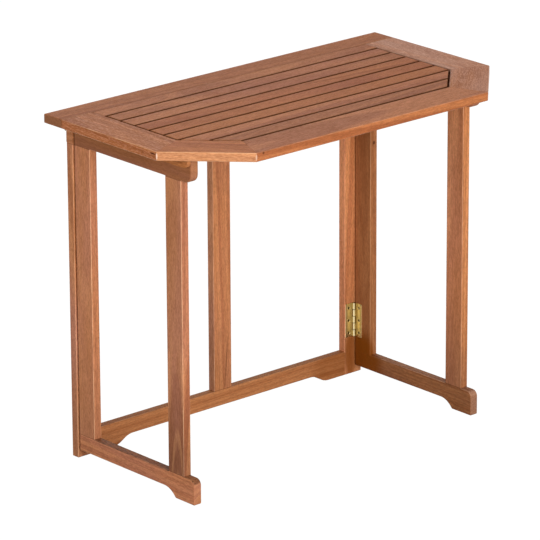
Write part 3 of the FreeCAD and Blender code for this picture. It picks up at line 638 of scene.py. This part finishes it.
# In these looks, above and left are strengths of painted sheen on faces that look up or left
BY_HAND = {
    "rear_board": dict(tone=0.96, above=0.01),
    # The left side rail: painted sparkle and a little painted sheen
    "leaf_left_side_rail": dict(tone=1.05, above=0.03, painted_sparkle=0.08),
    # Its outer edge face is paler, in the colour of the worn and highlighted edges
    "leaf_left_corner_rail": dict(tone=1.05, above=0.0, sides=[("worn", (LEFT + FRONT).normalized(), 0.24)]),
    "leaf_front_rail": dict(tone=1.03, above=0.07, pale_edges=0.1),
    # The right corner rail: clouds of painted sheen and painted sparkle
    "leaf_right_corner_rail": dict(sheen_clouds=0.18, painted_sparkle=0.10, pale_edges=0.3),
    # The right side rail: clouds of painted sheen and sparkle, and dark painted shade on its inner face toward the
    # gap at the slat ends
    "leaf_right_side_rail": dict(
        tone=1.09, sheen_clouds=0.30, above=0.10, painted_sparkle=0.20, sides=[("streak", LEFT, 0.6)]),
    "slat_3": dict(above=0.0),
    "slat_4": dict(tone=0.97, above=0.0),
    "slat_5": dict(tone=0.94, above=0.0),
    "slat_7": dict(tone=0.86),
    "rear_left_post": dict(rose=0.9),
    "rear_middle_post": dict(tone=1.03, rose=0.4, left=0.12),
    # The right post's left side is lifted with painted light
    "rear_right_post": dict(tone=1.20, rose=0.2, left=0.03, sides=[("painted_light", LEFT, 0.35)]),
    # Painted shade on its top, under the table, and a little stain and painted corner shade on its front
    "rear_bottom_rail": dict(tone=0.88, rose=0.0, sides=[("painted_shade", UP, 0.2), ("stain", FRONT, 0.06)]),
    "left_gate_inner_stile": dict(tone=1.14, rose=0.6),
    # A flame low on the outer face, and its left face a little darker in the painted shade colour
    "left_gate_outer_stile": dict(
        rose=0.6, heart=(0.0, 0.004, 0.032), tilt=0.10, figure=0.3, flame=1.5, sides=[("painted_shade", LEFT, 0.07)]),
    # Its left face is darkened a little, painted shade under the overhang of the top
    "left_gate_top_rail": dict(tone=0.76, rose=0.8, streaks=0.1, figure=0.2, sides=[("streak", LEFT, 0.15)]),
    # Painted shade on its top, under the table, and a little on its front
    "left_gate_bottom_rail": dict(tone=1.08, sides=[("painted_shade", UP, 0.6), ("painted_shade", FRONT, 0.13)]),
    "right_gate_inner_stile": dict(tone=0.83, rose=0.1, left=0.0, joint=0.0),
    "right_gate_outer_stile": dict(tone=1.17, rose=0.3),
    # Painted light on its top and front, which leaves its darker inner side standing for shade
    "right_gate_bottom_rail": dict(
        tone=0.57, rose=0.3, sides=[("bleached", UP, 0.08), ("bleached", FRONT, 0.08)]),
}
HEART_ACROSS, HEART_DEPTH = (-0.03, 0.03), (0.03, 0.10)
TILTS, SEEDS, TONE_SPREAD = (-0.05, 0.05), (0, 9), (0.97, 1.03)
ROSES, RING_WIDTHS = (0.15, 0.75), (0.007, 0.012)
LOOK_SEED = 11


def dress(name, material):
    """Give a piece its material."""
    frame["nodes"][name].material_slots[0].material = material


chance = random.Random(LOOK_SEED)
for name in planks:
    look = dict(PLAIN_LOOK)
    look["heart"] = (0.0, chance.uniform(*HEART_ACROSS), chance.uniform(*HEART_DEPTH))
    look["tilt"] = chance.uniform(*TILTS)
    look["seed"] = chance.uniform(*SEEDS)
    tone_share = chance.uniform(*TONE_SPREAD)
    look["rose"] = chance.uniform(*ROSES)
    look["ring_width"] = chance.uniform(*RING_WIDTHS)
    if slots[name] == "top_wood":
        look.update(TOP_LOOK)
    if name.endswith(("post", "stile")):
        look.update(UPRIGHT_LOOK)
    if name.endswith("outer_stile"):
        look["painted_shade"] = OUTER_FOOT_SHADE
    if name.startswith(("left_gate", "rear_left")):
        look["pale_edges"] = LEFT_PALE_EDGES
    look.update(BY_HAND.get(name, {}))
    look["tone"] *= tone_share
    dress(name, timber(name, look, WOODS[slots[name]]))
print(len(planks), "planks oiled,", len(BY_HAND), "of them with a look set by hand")

# %% [markdown]
# ## Dowels
# Beech dowels hold the frames together. They hide in their holes, but a part that comes apart shows
# them: pale, straight grained wood with short brown flecks, and dry, because glue wants bare wood.
# The same figure group serves, with other colours and wide, faint rings.

# %% Beech dowels
BEECH = dict(
    TOP_WOOD, deep=screen(196, 150, 104), pale=screen(224, 186, 142), rosy=screen(212, 164, 120),
    streak=screen(140, 92, 56), worn=screen(232, 200, 160))
DOWEL_LOOK = dict(
    PLAIN_LOOK, heart=(0.0, 0.0, 0.2), tilt=0.0, seed=2.0, rose=0.3, figure=0.3, flame=0.3, streaks=0.2,
    ring_width=0.004)
for name, slot in slots.items():
    if slot == "dowel_wood":
        dress(name, timber(name, DOWEL_LOOK, BEECH))
print("dowels:", sum(slot == "dowel_wood" for slot in slots.values()), "groups")

# %% [markdown]
# ## Brass hinges
# The butt hinges are rolled brass. The plates are dull and olive, with painted shade beside the barrel, a painted
# reflection as a brighter band along their middle, and painted light on the side to the room. The barrel is rubbed
# bright and carries a painted highlight, and the plates' outer rims carry a painted highlight. Most of that
# follows the distance from the pin, so the material measures it from the joint's own axis: the length of the cross
# product of the axis with the way from the axis to the surface. Painted shade lies between the knuckles, on faces
# that look along the axis.

# %% Brass material
KNUCKLE_REACH = 0.0034
BARREL_EDGE = 0.0003
BARREL_SHADE_REACH = 0.0056
PLATE_MIDDLE = 0.0135
PLATE_HALF_BAND = 0.0070
PLATE_EDGE = 0.0215
PLATE_RIM = 0.0006
ROLLED_ACROSS, ROLLED_ALONG = 900.0, 40.0
SPOT_STRETCH = (160.0, 160.0, 160.0)
ROLLED_SPAN, SPOT_SPAN, KNUCKLE_END = (0.35, 0.7), (0.50, 0.72), (0.2, 0.5)
ROUGH_SPAN, BRASS_ROUGHNESS = (0.3, 0.7), (0.26, 0.40)
# The plates' dull olive, and the painted reflection along their middle
DULL_BRASS, REFLECTION_BRASS = screen(156, 130, 74), screen(224, 198, 132)
ROLLED_BRASS, SPOTTED_BRASS = screen(246, 226, 170), screen(140, 110, 54)
# A bright brass for rubbed metal and painted highlights, and a dark one for painted shade
BRIGHT_BRASS, BRASS_SHADE = screen(248, 230, 182), screen(78, 58, 24)
STRENGTHS = {
    "rolled": 0.3, "spots": 0.3, "lit side": 0.24, "shaded": 0.8, "rim": 0.8, "barrel": 0.85,
    "knuckle shade": 0.9}
BRASS_BUMP, BRASS_DEPTH = 0.2, 0.0002
BARREL_POLISH = 0.10


def brass(name, axis_point, axis):
    """Rolled brass of a hinge that turns about this axis."""
    material, graph, shader = new_material(name)
    coordinates = graph.coordinates()
    place, normal = coordinates["Object"], coordinates["Normal"]
    away = graph.length(graph.vector("CROSS_PRODUCT", graph.vector("SUBTRACT", place, axis_point), axis))
    stretch = tuple(ROLLED_ACROSS - (ROLLED_ACROSS - ROLLED_ALONG) * abs(side) for side in axis)
    rolled = graph.noise(place, stretch, FINE_DETAIL)
    spots = graph.noise(place, SPOT_STRETCH, FINE_DETAIL)
    barrel = graph.ramp(away, KNUCKLE_REACH + BARREL_EDGE, KNUCKLE_REACH)
    along = graph.absolute(graph.dot(normal, axis))
    masks = {
        "rolled": (ROLLED_BRASS, graph.ramp(rolled, *ROLLED_SPAN)),
        "spots": (SPOTTED_BRASS, graph.ramp(spots, *SPOT_SPAN)),
        # Painted light on the side to the room
        "lit side": (BRIGHT_BRASS, faces(graph, normal, [FRONT])),
        # Painted shade beside the barrel
        "shaded": (BRASS_SHADE, graph.ramp(away, BARREL_SHADE_REACH, KNUCKLE_REACH)),
        # Painted highlight on the plates' outer rims
        "rim": (BRIGHT_BRASS, graph.ramp(away, PLATE_EDGE - PLATE_RIM, PLATE_EDGE)),
        # The barrel, rubbed bright and with a painted highlight
        "barrel": (BRIGHT_BRASS, barrel),
        # Painted shade between the knuckles
        "knuckle shade": (BRASS_SHADE, graph.times(barrel, graph.ramp(along, *KNUCKLE_END))),
    }
    from_middle = graph.absolute(graph.minus(away, PLATE_MIDDLE))
    # Painted reflection: a brighter band along the middle of each plate
    colour = graph.blend(graph.ramp(from_middle, PLATE_HALF_BAND, 0.0), DULL_BRASS, REFLECTION_BRASS)
    for kind, (over, mask) in masks.items():
        colour = graph.blend(graph.times(mask, STRENGTHS[kind]), colour, over)
    rough = graph.ramp(rolled, *ROUGH_SPAN, *BRASS_ROUGHNESS)
    rough = graph.minus(rough, graph.times(barrel, BARREL_POLISH))
    relief = graph.bump(rolled, BRASS_BUMP, BRASS_DEPTH)
    graph.fill(shader, base_color=colour, roughness=rough, metallic=1.0, normal=relief)
    return material


hinge_brass = {}
for joint in frame["joints"]:
    hinge_brass[joint["name"]] = brass("brass_" + joint["name"], joint["pos_m"], joint["axis"])


def joint_of(name):
    """The joint whose hinge a brass piece belongs to."""
    side = name.split("_")[0]
    return side + "_gate_swing" if side in ("left", "right") else "leaf_lift"


for name, slot in slots.items():
    if slot == "brass":
        dress(name, hinge_brass[joint_of(name)])
print("brass for", ", ".join(hinge_brass))

# %% [markdown]
# ## Painted shade in a screw head
# The recess of every screw and the rim of its head get painted shade, apart from where the rim looks down, which
# stays light. Each screw will carry an attribute that says how far out on its head a point lies, from 0 on its
# axis to 1 on its rim. This group turns it into one mask for the two metals that the screws are made of.

# %% Screw head group
SCREW_REACH = "screw_reach"
RECESS_FADE = 0.14
# Strength of the painted shade in the recess and on the rim
RECESS_SHADE, RIM_SHADE = 0.9, 0.8
SHADED_RIM = (0.84, 0.97)
LOOKS_UP = (-0.2, 0.1)
graph, given, result = new_group(
    "screw_head", {"Reach": "value", "Facing": "vector", "Recess Reach": "value"}, {"Painted Shade": "value"})
recess_start = graph.minus(given["Recess Reach"], RECESS_FADE)
recess = graph.ramp(given["Reach"], given["Recess Reach"], recess_start, 0.0, RECESS_SHADE)
looks_up = graph.ramp(graph.parts(given["Facing"])["Z"], *LOOKS_UP, 0.0, RIM_SHADE)
rim = graph.times(graph.ramp(given["Reach"], *SHADED_RIM), looks_up)
graph.feed(result["Painted Shade"], graph.calc("MAXIMUM", recess, rim))
screw_head = graph.tree


def shaded_screw_colour(graph, colour, shade_colour, recess_reach):
    """A screw's colour with painted shade in its recess, as far out as this, and on its rim."""
    reach = graph.add("ShaderNodeAttribute", {"attribute_name": SCREW_REACH}).outputs["Fac"]
    facing = graph.coordinates()["Normal"]
    head = graph.place(screw_head, reach=reach, facing=facing, recess_reach=recess_reach)
    return graph.blend(head["Painted Shade"], colour, shade_colour)


print("screw_head:", len(screw_head.nodes), "nodes")

# %% [markdown]
# ## Brass and steel screws
# The hinges have brass screws, a little brighter than the plates. The battens and the rear board are
# held by zinc-plated steel screws. Zinc is a bluish grey with a faint spangle of crystals and a few
# yellow stains, and it is duller than brass.

# %% Screw metals
RUB_STRETCH, RUB_SPAN = (500.0, 500.0, 500.0), (0.35, 0.65)
STAIN_STRETCH, STAIN_SPAN = (300.0, 300.0, 300.0), (0.5, 0.75)
ZINC_STAIN_STRENGTH = 0.5
CRYSTALS_PER_METRE = 1400.0
BRASS_RECESS_REACH, ZINC_RECESS_REACH = 0.84, 0.66
SCREW_ROUGHNESS, ZINC_ROUGHNESS = (0.22, 0.38), (0.30, 0.46)
SCREW_BRASS = screen(214, 186, 122)
DULL_ZINC, BRIGHT_ZINC = screen(158, 162, 166), screen(196, 198, 200)
# The dark zinc colour is painted shade in the recess
ZINC_STAIN, ZINC_SHADE = screen(190, 172, 124), screen(54, 50, 46)


def screw_brass():
    """Bright brass with painted shade in the recess."""
    material, graph, shader = new_material("screw_brass")
    rubs = graph.noise(graph.coordinates()["Object"], RUB_STRETCH, FINE_DETAIL)
    colour = graph.blend(graph.ramp(rubs, *RUB_SPAN), SCREW_BRASS, BRIGHT_BRASS)
    # Painted shade in the recess and on the rim
    colour = shaded_screw_colour(graph, colour, BRASS_SHADE, BRASS_RECESS_REACH)
    rough = graph.ramp(rubs, *ROUGH_SPAN, *SCREW_ROUGHNESS)
    graph.fill(shader, base_color=colour, roughness=rough, metallic=1.0)
    return material


def zinc_plate():
    """Zinc plating with a crystal spangle."""
    material, graph, shader = new_material("zinc_plated_steel")
    place = graph.coordinates()["Object"]
    crystals = graph.add("ShaderNodeTexVoronoi", vector=place, scale=CRYSTALS_PER_METRE)
    spangle = graph.parts(crystals.outputs["Color"])["X"]
    stains = graph.ramp(graph.noise(place, STAIN_STRETCH), *STAIN_SPAN, 0.0, ZINC_STAIN_STRENGTH)
    colour = graph.blend(spangle, DULL_ZINC, BRIGHT_ZINC)
    colour = graph.blend(stains, colour, ZINC_STAIN)
    # Painted shade in the recess and on the rim
    colour = shaded_screw_colour(graph, colour, ZINC_SHADE, ZINC_RECESS_REACH)
    graph.fill(shader, base_color=colour, roughness=graph.ramp(spangle, 0, 1, *ZINC_ROUGHNESS), metallic=1.0)
    return material


screw_metals = {"brass": screw_brass(), "screw_steel": zinc_plate()}
print("screw metals:", ", ".join(metal.name for metal in screw_metals.values()))

# %% [markdown]
# ## Cross-head screws
# Every screw has the same shape: a point, a shank, a countersunk head with a broken rim and a cross
# recess. A row of copies by hand would be tedious, and they would all be turned alike. Geometry Nodes
# suits what repeats. These functions add nodes that turn one screw as a lathe would, by pulling its top
# face up and scaling it, cut the recess with a Boolean, and note on every point how far out on the head
# it lies.

# %% Turning a screw
SCREW_SIDES = 28
TIP_SHARE = 0.35
RIM_SHARE = 0.06
RECESS_REACH_SHARE = 0.58
RECESS_DEPTH_SHARE = 0.62
RECESS_TAPER = 0.55
RECESS_OVERRUN = 1.25
SHARP_ANGLE = math.radians(30)
CLEAN_REACH = 0.72


def lathe_step(graph, body, top, rise, widen):
    """Pull the top face up and scale it. Gives the new body and its top face."""
    pulled = graph.add(
        "GeometryNodeExtrudeMesh", {"mode": "FACES"}, mesh=body, selection=top, offset=graph.join(z=rise),
        individual=False).outputs
    spread = graph.add(
        "GeometryNodeScaleElements", {"domain": "FACE"}, geometry=pulled["Mesh"], selection=pulled["Top"],
        scale=widen)
    return spread.outputs["Geometry"], pulled["Top"]


def moved(graph, geometry, **changes):
    """Geometry that is moved, turned or scaled."""
    return graph.add("GeometryNodeTransform", geometry=geometry, **changes).outputs["Geometry"]


def tapered_arm(graph, given, turn):
    """One arm of the cross recess: a four-sided taper, squared up, narrowed and turned."""
    reach = graph.times(given["Head Radius"], RECESS_REACH_SHARE)
    depth = graph.times(given["Head Depth"], RECESS_DEPTH_SHARE)
    taper = graph.add(
        "GeometryNodeMeshCone", vertices=4, depth=graph.times(depth, RECESS_OVERRUN),
        radius_top=graph.times(reach, math.sqrt(2)),
        radius_bottom=graph.times(reach, math.sqrt(2) * RECESS_TAPER))
    square = moved(graph, taper.outputs["Mesh"], rotation=(0, 0, math.pi / 4))
    narrow = graph.join(1.0, graph.calc("DIVIDE", given["Recess Width"], graph.times(reach, 2.0)), 1.0)
    sunk = graph.join(z=graph.times(depth, -1.0))
    return moved(graph, square, scale=narrow, rotation=(0, 0, turn), translation=sunk)


def note_reach(graph, geometry, given):
    """Geometry that carries how far out on the head each point lies. The shank counts as clean."""
    x, y, z = graph.parts(graph.add("GeometryNodeInputPosition").outputs["Position"])
    reach = graph.calc("DIVIDE", graph.length(graph.join(x, y)), given["Head Radius"])
    on_head = graph.calc("GREATER_THAN", graph.plus(z, given["Head Depth"]), 0.0)
    clean = graph.times(graph.minus(1.0, on_head), CLEAN_REACH)
    note = graph.add(
        "GeometryNodeStoreNamedAttribute", {"data_type": "FLOAT", "domain": "POINT"}, geometry=geometry,
        name=SCREW_REACH, value=graph.plus(graph.times(reach, on_head), clean))
    return note.outputs["Geometry"]


def crisp_edges(graph, geometry):
    """Geometry that is smooth apart from its sharp edges."""
    smooth = graph.add("GeometryNodeSetShadeSmooth", {"domain": "FACE"}, geometry=geometry)
    bent = graph.add("GeometryNodeInputMeshEdgeAngle").outputs["Unsigned Angle"]
    crisp = graph.add(
        "GeometryNodeSetShadeSmooth", {"domain": "EDGE"}, geometry=smooth.outputs["Geometry"],
        selection=graph.calc("GREATER_THAN", bent, SHARP_ANGLE), shade_smooth=False)
    return crisp.outputs["Geometry"]


def turned_screw(graph, given):
    """One screw whose head lies at the origin, with its point down."""
    tip = graph.times(given["Length"], TIP_SHARE)
    rim = graph.times(given["Head Radius"], RIM_SHARE)
    shank = graph.minus(given["Length"], graph.plus(tip, graph.plus(given["Head Depth"], rim)))
    point = graph.add(
        "GeometryNodeMeshCone", vertices=SCREW_SIDES, depth=tip, radius_top=given["Shank Radius"],
        radius_bottom=0.0)
    flare = graph.calc("DIVIDE", given["Head Radius"], given["Shank Radius"])
    body, top = point.outputs["Mesh"], point.outputs["Top"]
    for rise, widen in ((shank, 1.0), (given["Head Depth"], flare), (rim, 1 - RIM_SHARE)):
        body, top = lathe_step(graph, body, top, rise, widen)
    body = moved(graph, body, translation=graph.join(z=graph.times(given["Length"], -1.0)))
    recessed = graph.add("GeometryNodeMeshBoolean", {"operation": "DIFFERENCE"}, mesh_1=body)
    for turn in (0.0, math.pi / 2):
        graph.fill(recessed, mesh_2=tapered_arm(graph, given, turn))
    return note_reach(graph, crisp_edges(graph, recessed.outputs["Mesh"]), given)


print("a screw has", SCREW_SIDES, "sides")

# %% [markdown]
# ### A screw for every seat
# The tree itself has named inputs for a screw's sizes, its metal and a seed. It sets a copy on every point
# that it is given, with the head along the point's aim and a random turn of its own. Copies are only
# references, so the tree makes them real and gives them their metal at the end.

# %% Screw tree
def random_aim(graph, given):
    """A turn that sets the screw along its seat's aim, driven to a random angle."""
    aim = graph.add("GeometryNodeInputNamedAttribute", {"data_type": "FLOAT_VECTOR"}, name="aim")
    upright = graph.add("FunctionNodeAlignRotationToVector", {"axis": "Z"}, vector=aim.outputs["Attribute"])
    draw = graph.add("FunctionNodeRandomValue", {"data_type": "FLOAT"}, seed=given["Seed"])
    lowest, highest = [socket for socket in draw.inputs if socket.name in ("Min", "Max") and socket.enabled]
    lowest.default_value = 0.0
    highest.default_value = math.tau
    angle = next(socket for socket in draw.outputs if socket.enabled)
    driven = graph.add("FunctionNodeAxisAngleToRotation", axis=(0, 0, 1), angle=angle)
    turned = graph.add(
        "FunctionNodeRotateRotation", {"rotation_space": "LOCAL"}, rotation=upright.outputs["Rotation"],
        rotate_by=driven.outputs["Rotation"])
    return turned.outputs["Rotation"]


graph, given, result = new_group(
    "cross_head_screws",
    {"Seats": "geometry", "Head Radius": "value", "Head Depth": "value", "Shank Radius": "value",
     "Length": "value", "Recess Width": "value", "Seed": "whole number", "Metal": "material"},
    {"Screws": "geometry"}, "GeometryNodeTree")
copies = graph.add(
    "GeometryNodeInstanceOnPoints", points=given["Seats"], instance=turned_screw(graph, given),
    rotation=random_aim(graph, given))
real = graph.add("GeometryNodeRealizeInstances", geometry=copies.outputs["Instances"])
dressed = graph.add("GeometryNodeSetMaterial", geometry=real.outputs["Geometry"], material=given["Metal"])
graph.feed(result["Screws"], dressed.outputs["Geometry"])
cross_head_screws = graph.tree
cross_head_screws.is_modifier = True
print("screw tree:", len(cross_head_screws.nodes), "nodes")

# %% [markdown]
# ### Where the screws sit
# The solids already hold plain screws in the right places. Their meshes are cut into loose parts, one
# for each screw. The longest side of a part is its axis, and the point furthest from that axis is on
# the rim of the head. The seats are sorted, so that each run deals them the same random turns.

# %% Screw seats
MERGE_DISTANCE = 1e-6


def loose_parts(mesh):
    """The points of each separate piece of a mesh."""
    bm = bmesh.new()
    bm.from_mesh(mesh)
    bmesh.ops.remove_doubles(bm, verts=bm.verts, dist=MERGE_DISTANCE)
    waiting = set(bm.verts)
    parts = []
    while waiting:
        part = [waiting.pop()]
        for vertex in part:
            for edge in vertex.link_edges:
                neighbour = edge.other_vert(vertex)
                if neighbour in waiting:
                    waiting.remove(neighbour)
                    part.append(neighbour)
        parts.append([vertex.co.copy() for vertex in part])
    bm.free()
    return parts


def screw_seat(points):
    """Middle of a screw's head, the way that it faces, and the screw's length."""
    low = Vector([min(point[axis] for point in points) for axis in range(3)])
    high = Vector([max(point[axis] for point in points) for axis in range(3)])
    middle, size = (low + high) / 2, high - low
    along = max(range(3), key=lambda axis: size[axis])
    aim = Vector([float(axis == along) for axis in range(3)])
    rim = max(points, key=lambda point: (point - middle).cross(aim).length)
    if rim[along] < middle[along]:
        aim = -aim
    return middle + aim * size[along] / 2, aim, size[along]


bodies = frame["record"]["behaviour"]["bodies"]
body_of_node = {node: body for body, nodes in bodies.items() for node in nodes}
screw_nodes = sorted(name for name in slots if name.endswith("screws"))
seats = {}
for name in screw_nodes:
    found = [screw_seat(points) for points in loose_parts(frame["nodes"][name].data)]
    seats[name] = sorted(found, key=lambda seat: [round(number, 5) for number in seat[0]])
print({name: len(found) for name, found in seats.items()})

# %% [markdown]
# ### Driving them in
# The seats become a mesh of bare points that carry their aim as an attribute. The modifier's inputs
# are set by the identifiers of their sockets before anything is evaluated. The evaluated result is
# then copied to a plain mesh, the modifier goes, and the piece takes the place of the plain screws.

# %% Screws
HINGE_SCREW = {"Head Radius": 0.0041, "Head Depth": 0.0020, "Shank Radius": 0.0015, "Recess Width": 0.0011}
BATTEN_SCREW = {"Head Radius": 0.0036, "Head Depth": 0.0020, "Shank Radius": 0.0017, "Recess Width": 0.0010}
SCREW_SIZES = {"brass": HINGE_SCREW, "screw_steel": BATTEN_SCREW}


def drive_screws(name, seed):
    """Cross-head screws in place of a node of plain ones."""
    places, aims, lengths = zip(*seats[name])
    mesh = bpy.data.meshes.new(name + "_cross_head")
    mesh.from_pydata(places, [], [])
    aim = mesh.attributes.new("aim", "FLOAT_VECTOR", "POINT")
    for item, direction in zip(aim.data, aims):
        item.vector = direction
    piece = bpy.data.objects.new(name + "_cross_head", mesh)
    bpy.context.scene.collection.objects.link(piece)
    modifier = piece.modifiers.new("screws", "NODES")
    modifier.node_group = cross_head_screws
    values = dict(SCREW_SIZES[slots[name]], Length=min(lengths), Seed=seed, Metal=screw_metals[slots[name]])
    for label, value in values.items():
        modifier[cross_head_screws.interface.items_tree[label].identifier] = value
    bpy.context.view_layer.update()
    evaluated = piece.evaluated_get(bpy.context.evaluated_depsgraph_get())
    solid = bpy.data.meshes.new_from_object(evaluated)
    piece.modifiers.clear()
    piece.data = solid
    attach(piece, body_of_node[name])
    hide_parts(name)
    return len(solid.polygons)


for seed, name in enumerate(screw_nodes):
    print(name, drive_screws(name, seed), "faces")

# %% [markdown]
# ## Floor and background
# The table stands on a white sweep, so the background is plain white. Turning the lamps up until a
# grey floor burns out would burn the table too. So the floor glows white only for rays that look at it
# directly, from the camera or in a mirror, and the rest of it stays a matt floor that lights the table
# from below and keeps a little of its shadow.

# %% Floor
FLOOR_RADIUS = 40.0
FLOOR_SIDES = 64
FLOOR_DROP = 0.0005
FLOOR_GLOW = 1.15
GLOW_SHARE = 0.88
FLOOR_GREY = 0.35
floor_mesh = bpy.data.meshes.new("white_floor")
bm = bmesh.new()
bmesh.ops.create_circle(bm, cap_ends=True, segments=FLOOR_SIDES, radius=FLOOR_RADIUS)
bmesh.ops.translate(bm, verts=bm.verts, vec=(0, 0, table_low.z - FLOOR_DROP))
bm.to_mesh(floor_mesh)
bm.free()
floor = bpy.data.objects.new("white_floor", floor_mesh)
bpy.context.scene.collection.objects.link(floor)


def seen_directly(graph):
    """1 for rays that show the background as it is: from the camera, a mirror or glass."""
    path = graph.add("ShaderNodeLightPath").outputs
    seen = graph.calc("MAXIMUM", path["Is Camera Ray"], path["Is Glossy Ray"])
    return graph.calc("MAXIMUM", seen, path["Is Transmission Ray"])


def mixed(graph, share, first, second):
    """The first shader where the share is 0, and the second where it is 1."""
    return graph.add("ShaderNodeMixShader", {}, share, first.outputs[0], second.outputs[0]).outputs[0]


floor_paint, graph, unused_shader = new_material("white_floor")
graph.tree.nodes.remove(unused_shader)
matt = graph.add("ShaderNodeBsdfDiffuse", color=(FLOOR_GREY, FLOOR_GREY, FLOOR_GREY, 1))
glow = graph.add("ShaderNodeEmission", strength=FLOOR_GLOW)
veil = mixed(graph, graph.times(seen_directly(graph), GLOW_SHARE), matt, glow)
graph.fill(graph.tree.nodes["Material Output"], surface=veil)
floor.data.materials.append(floor_paint)
print("floor radius", FLOOR_RADIUS, "m")

# %% [markdown]
# ## Studio light
# The light is soft and comes from the front left, low enough to make the front edges the brightest
# faces and the top a shade darker. A large softbox is the key. Four weaker ones help it: one overhead
# evens out the top, one on the left picks out the rounded corners, one behind lifts the far edges, and a low
# one on the right reaches the sides that the key leaves dark. The world fills in the shadows. It is dim as a
# light, but white where it is looked at directly.

# %% World and lamps
WORLD_LIGHT = 0.30
WHITE = (1, 1, 1, 1)
world = bpy.data.worlds.new("studio")
bpy.context.scene.world = world
world.use_nodes = True
graph = Graph(world.node_tree)
dim = graph.tree.nodes["Background"]
graph.fill(dim, color=WHITE, strength=WORLD_LIGHT)
white = graph.add("ShaderNodeBackground", color=WHITE)
graph.fill(graph.tree.nodes["World Output"], surface=mixed(graph, seen_directly(graph), dim, white))


def softbox(name, azimuth, elevation, distance, size, watts):
    """A square lamp that faces the table from this bearing, where 0 is in front and -90 on the left."""
    lamp = bpy.data.lights.new(name, "AREA")
    lamp.size = size
    lamp.energy = watts
    holder = bpy.data.objects.new(name, lamp)
    turn, rise = math.radians(azimuth), math.radians(elevation)
    towards = Vector((math.sin(turn) * math.cos(rise), -math.cos(turn) * math.cos(rise), math.sin(rise)))
    holder.location = table_middle + towards * distance
    holder.rotation_mode = "QUATERNION"
    holder.rotation_quaternion = (-towards).to_track_quat("-Z", "Y")
    bpy.context.scene.collection.objects.link(holder)


softbox("key_softbox", azimuth=-22, elevation=13, distance=4.0, size=2.6, watts=160)
softbox("top_softbox", azimuth=0, elevation=85, distance=3.0, size=1.6, watts=13.5)
softbox("left_softbox", azimuth=-94, elevation=18, distance=4.0, size=0.8, watts=31)
softbox("back_softbox", azimuth=150, elevation=25, distance=4.5, size=2.0, watts=14)
softbox("right_softbox", azimuth=84, elevation=5, distance=4.5, size=1.6, watts=45)
print("lamps:", len(bpy.data.lights))
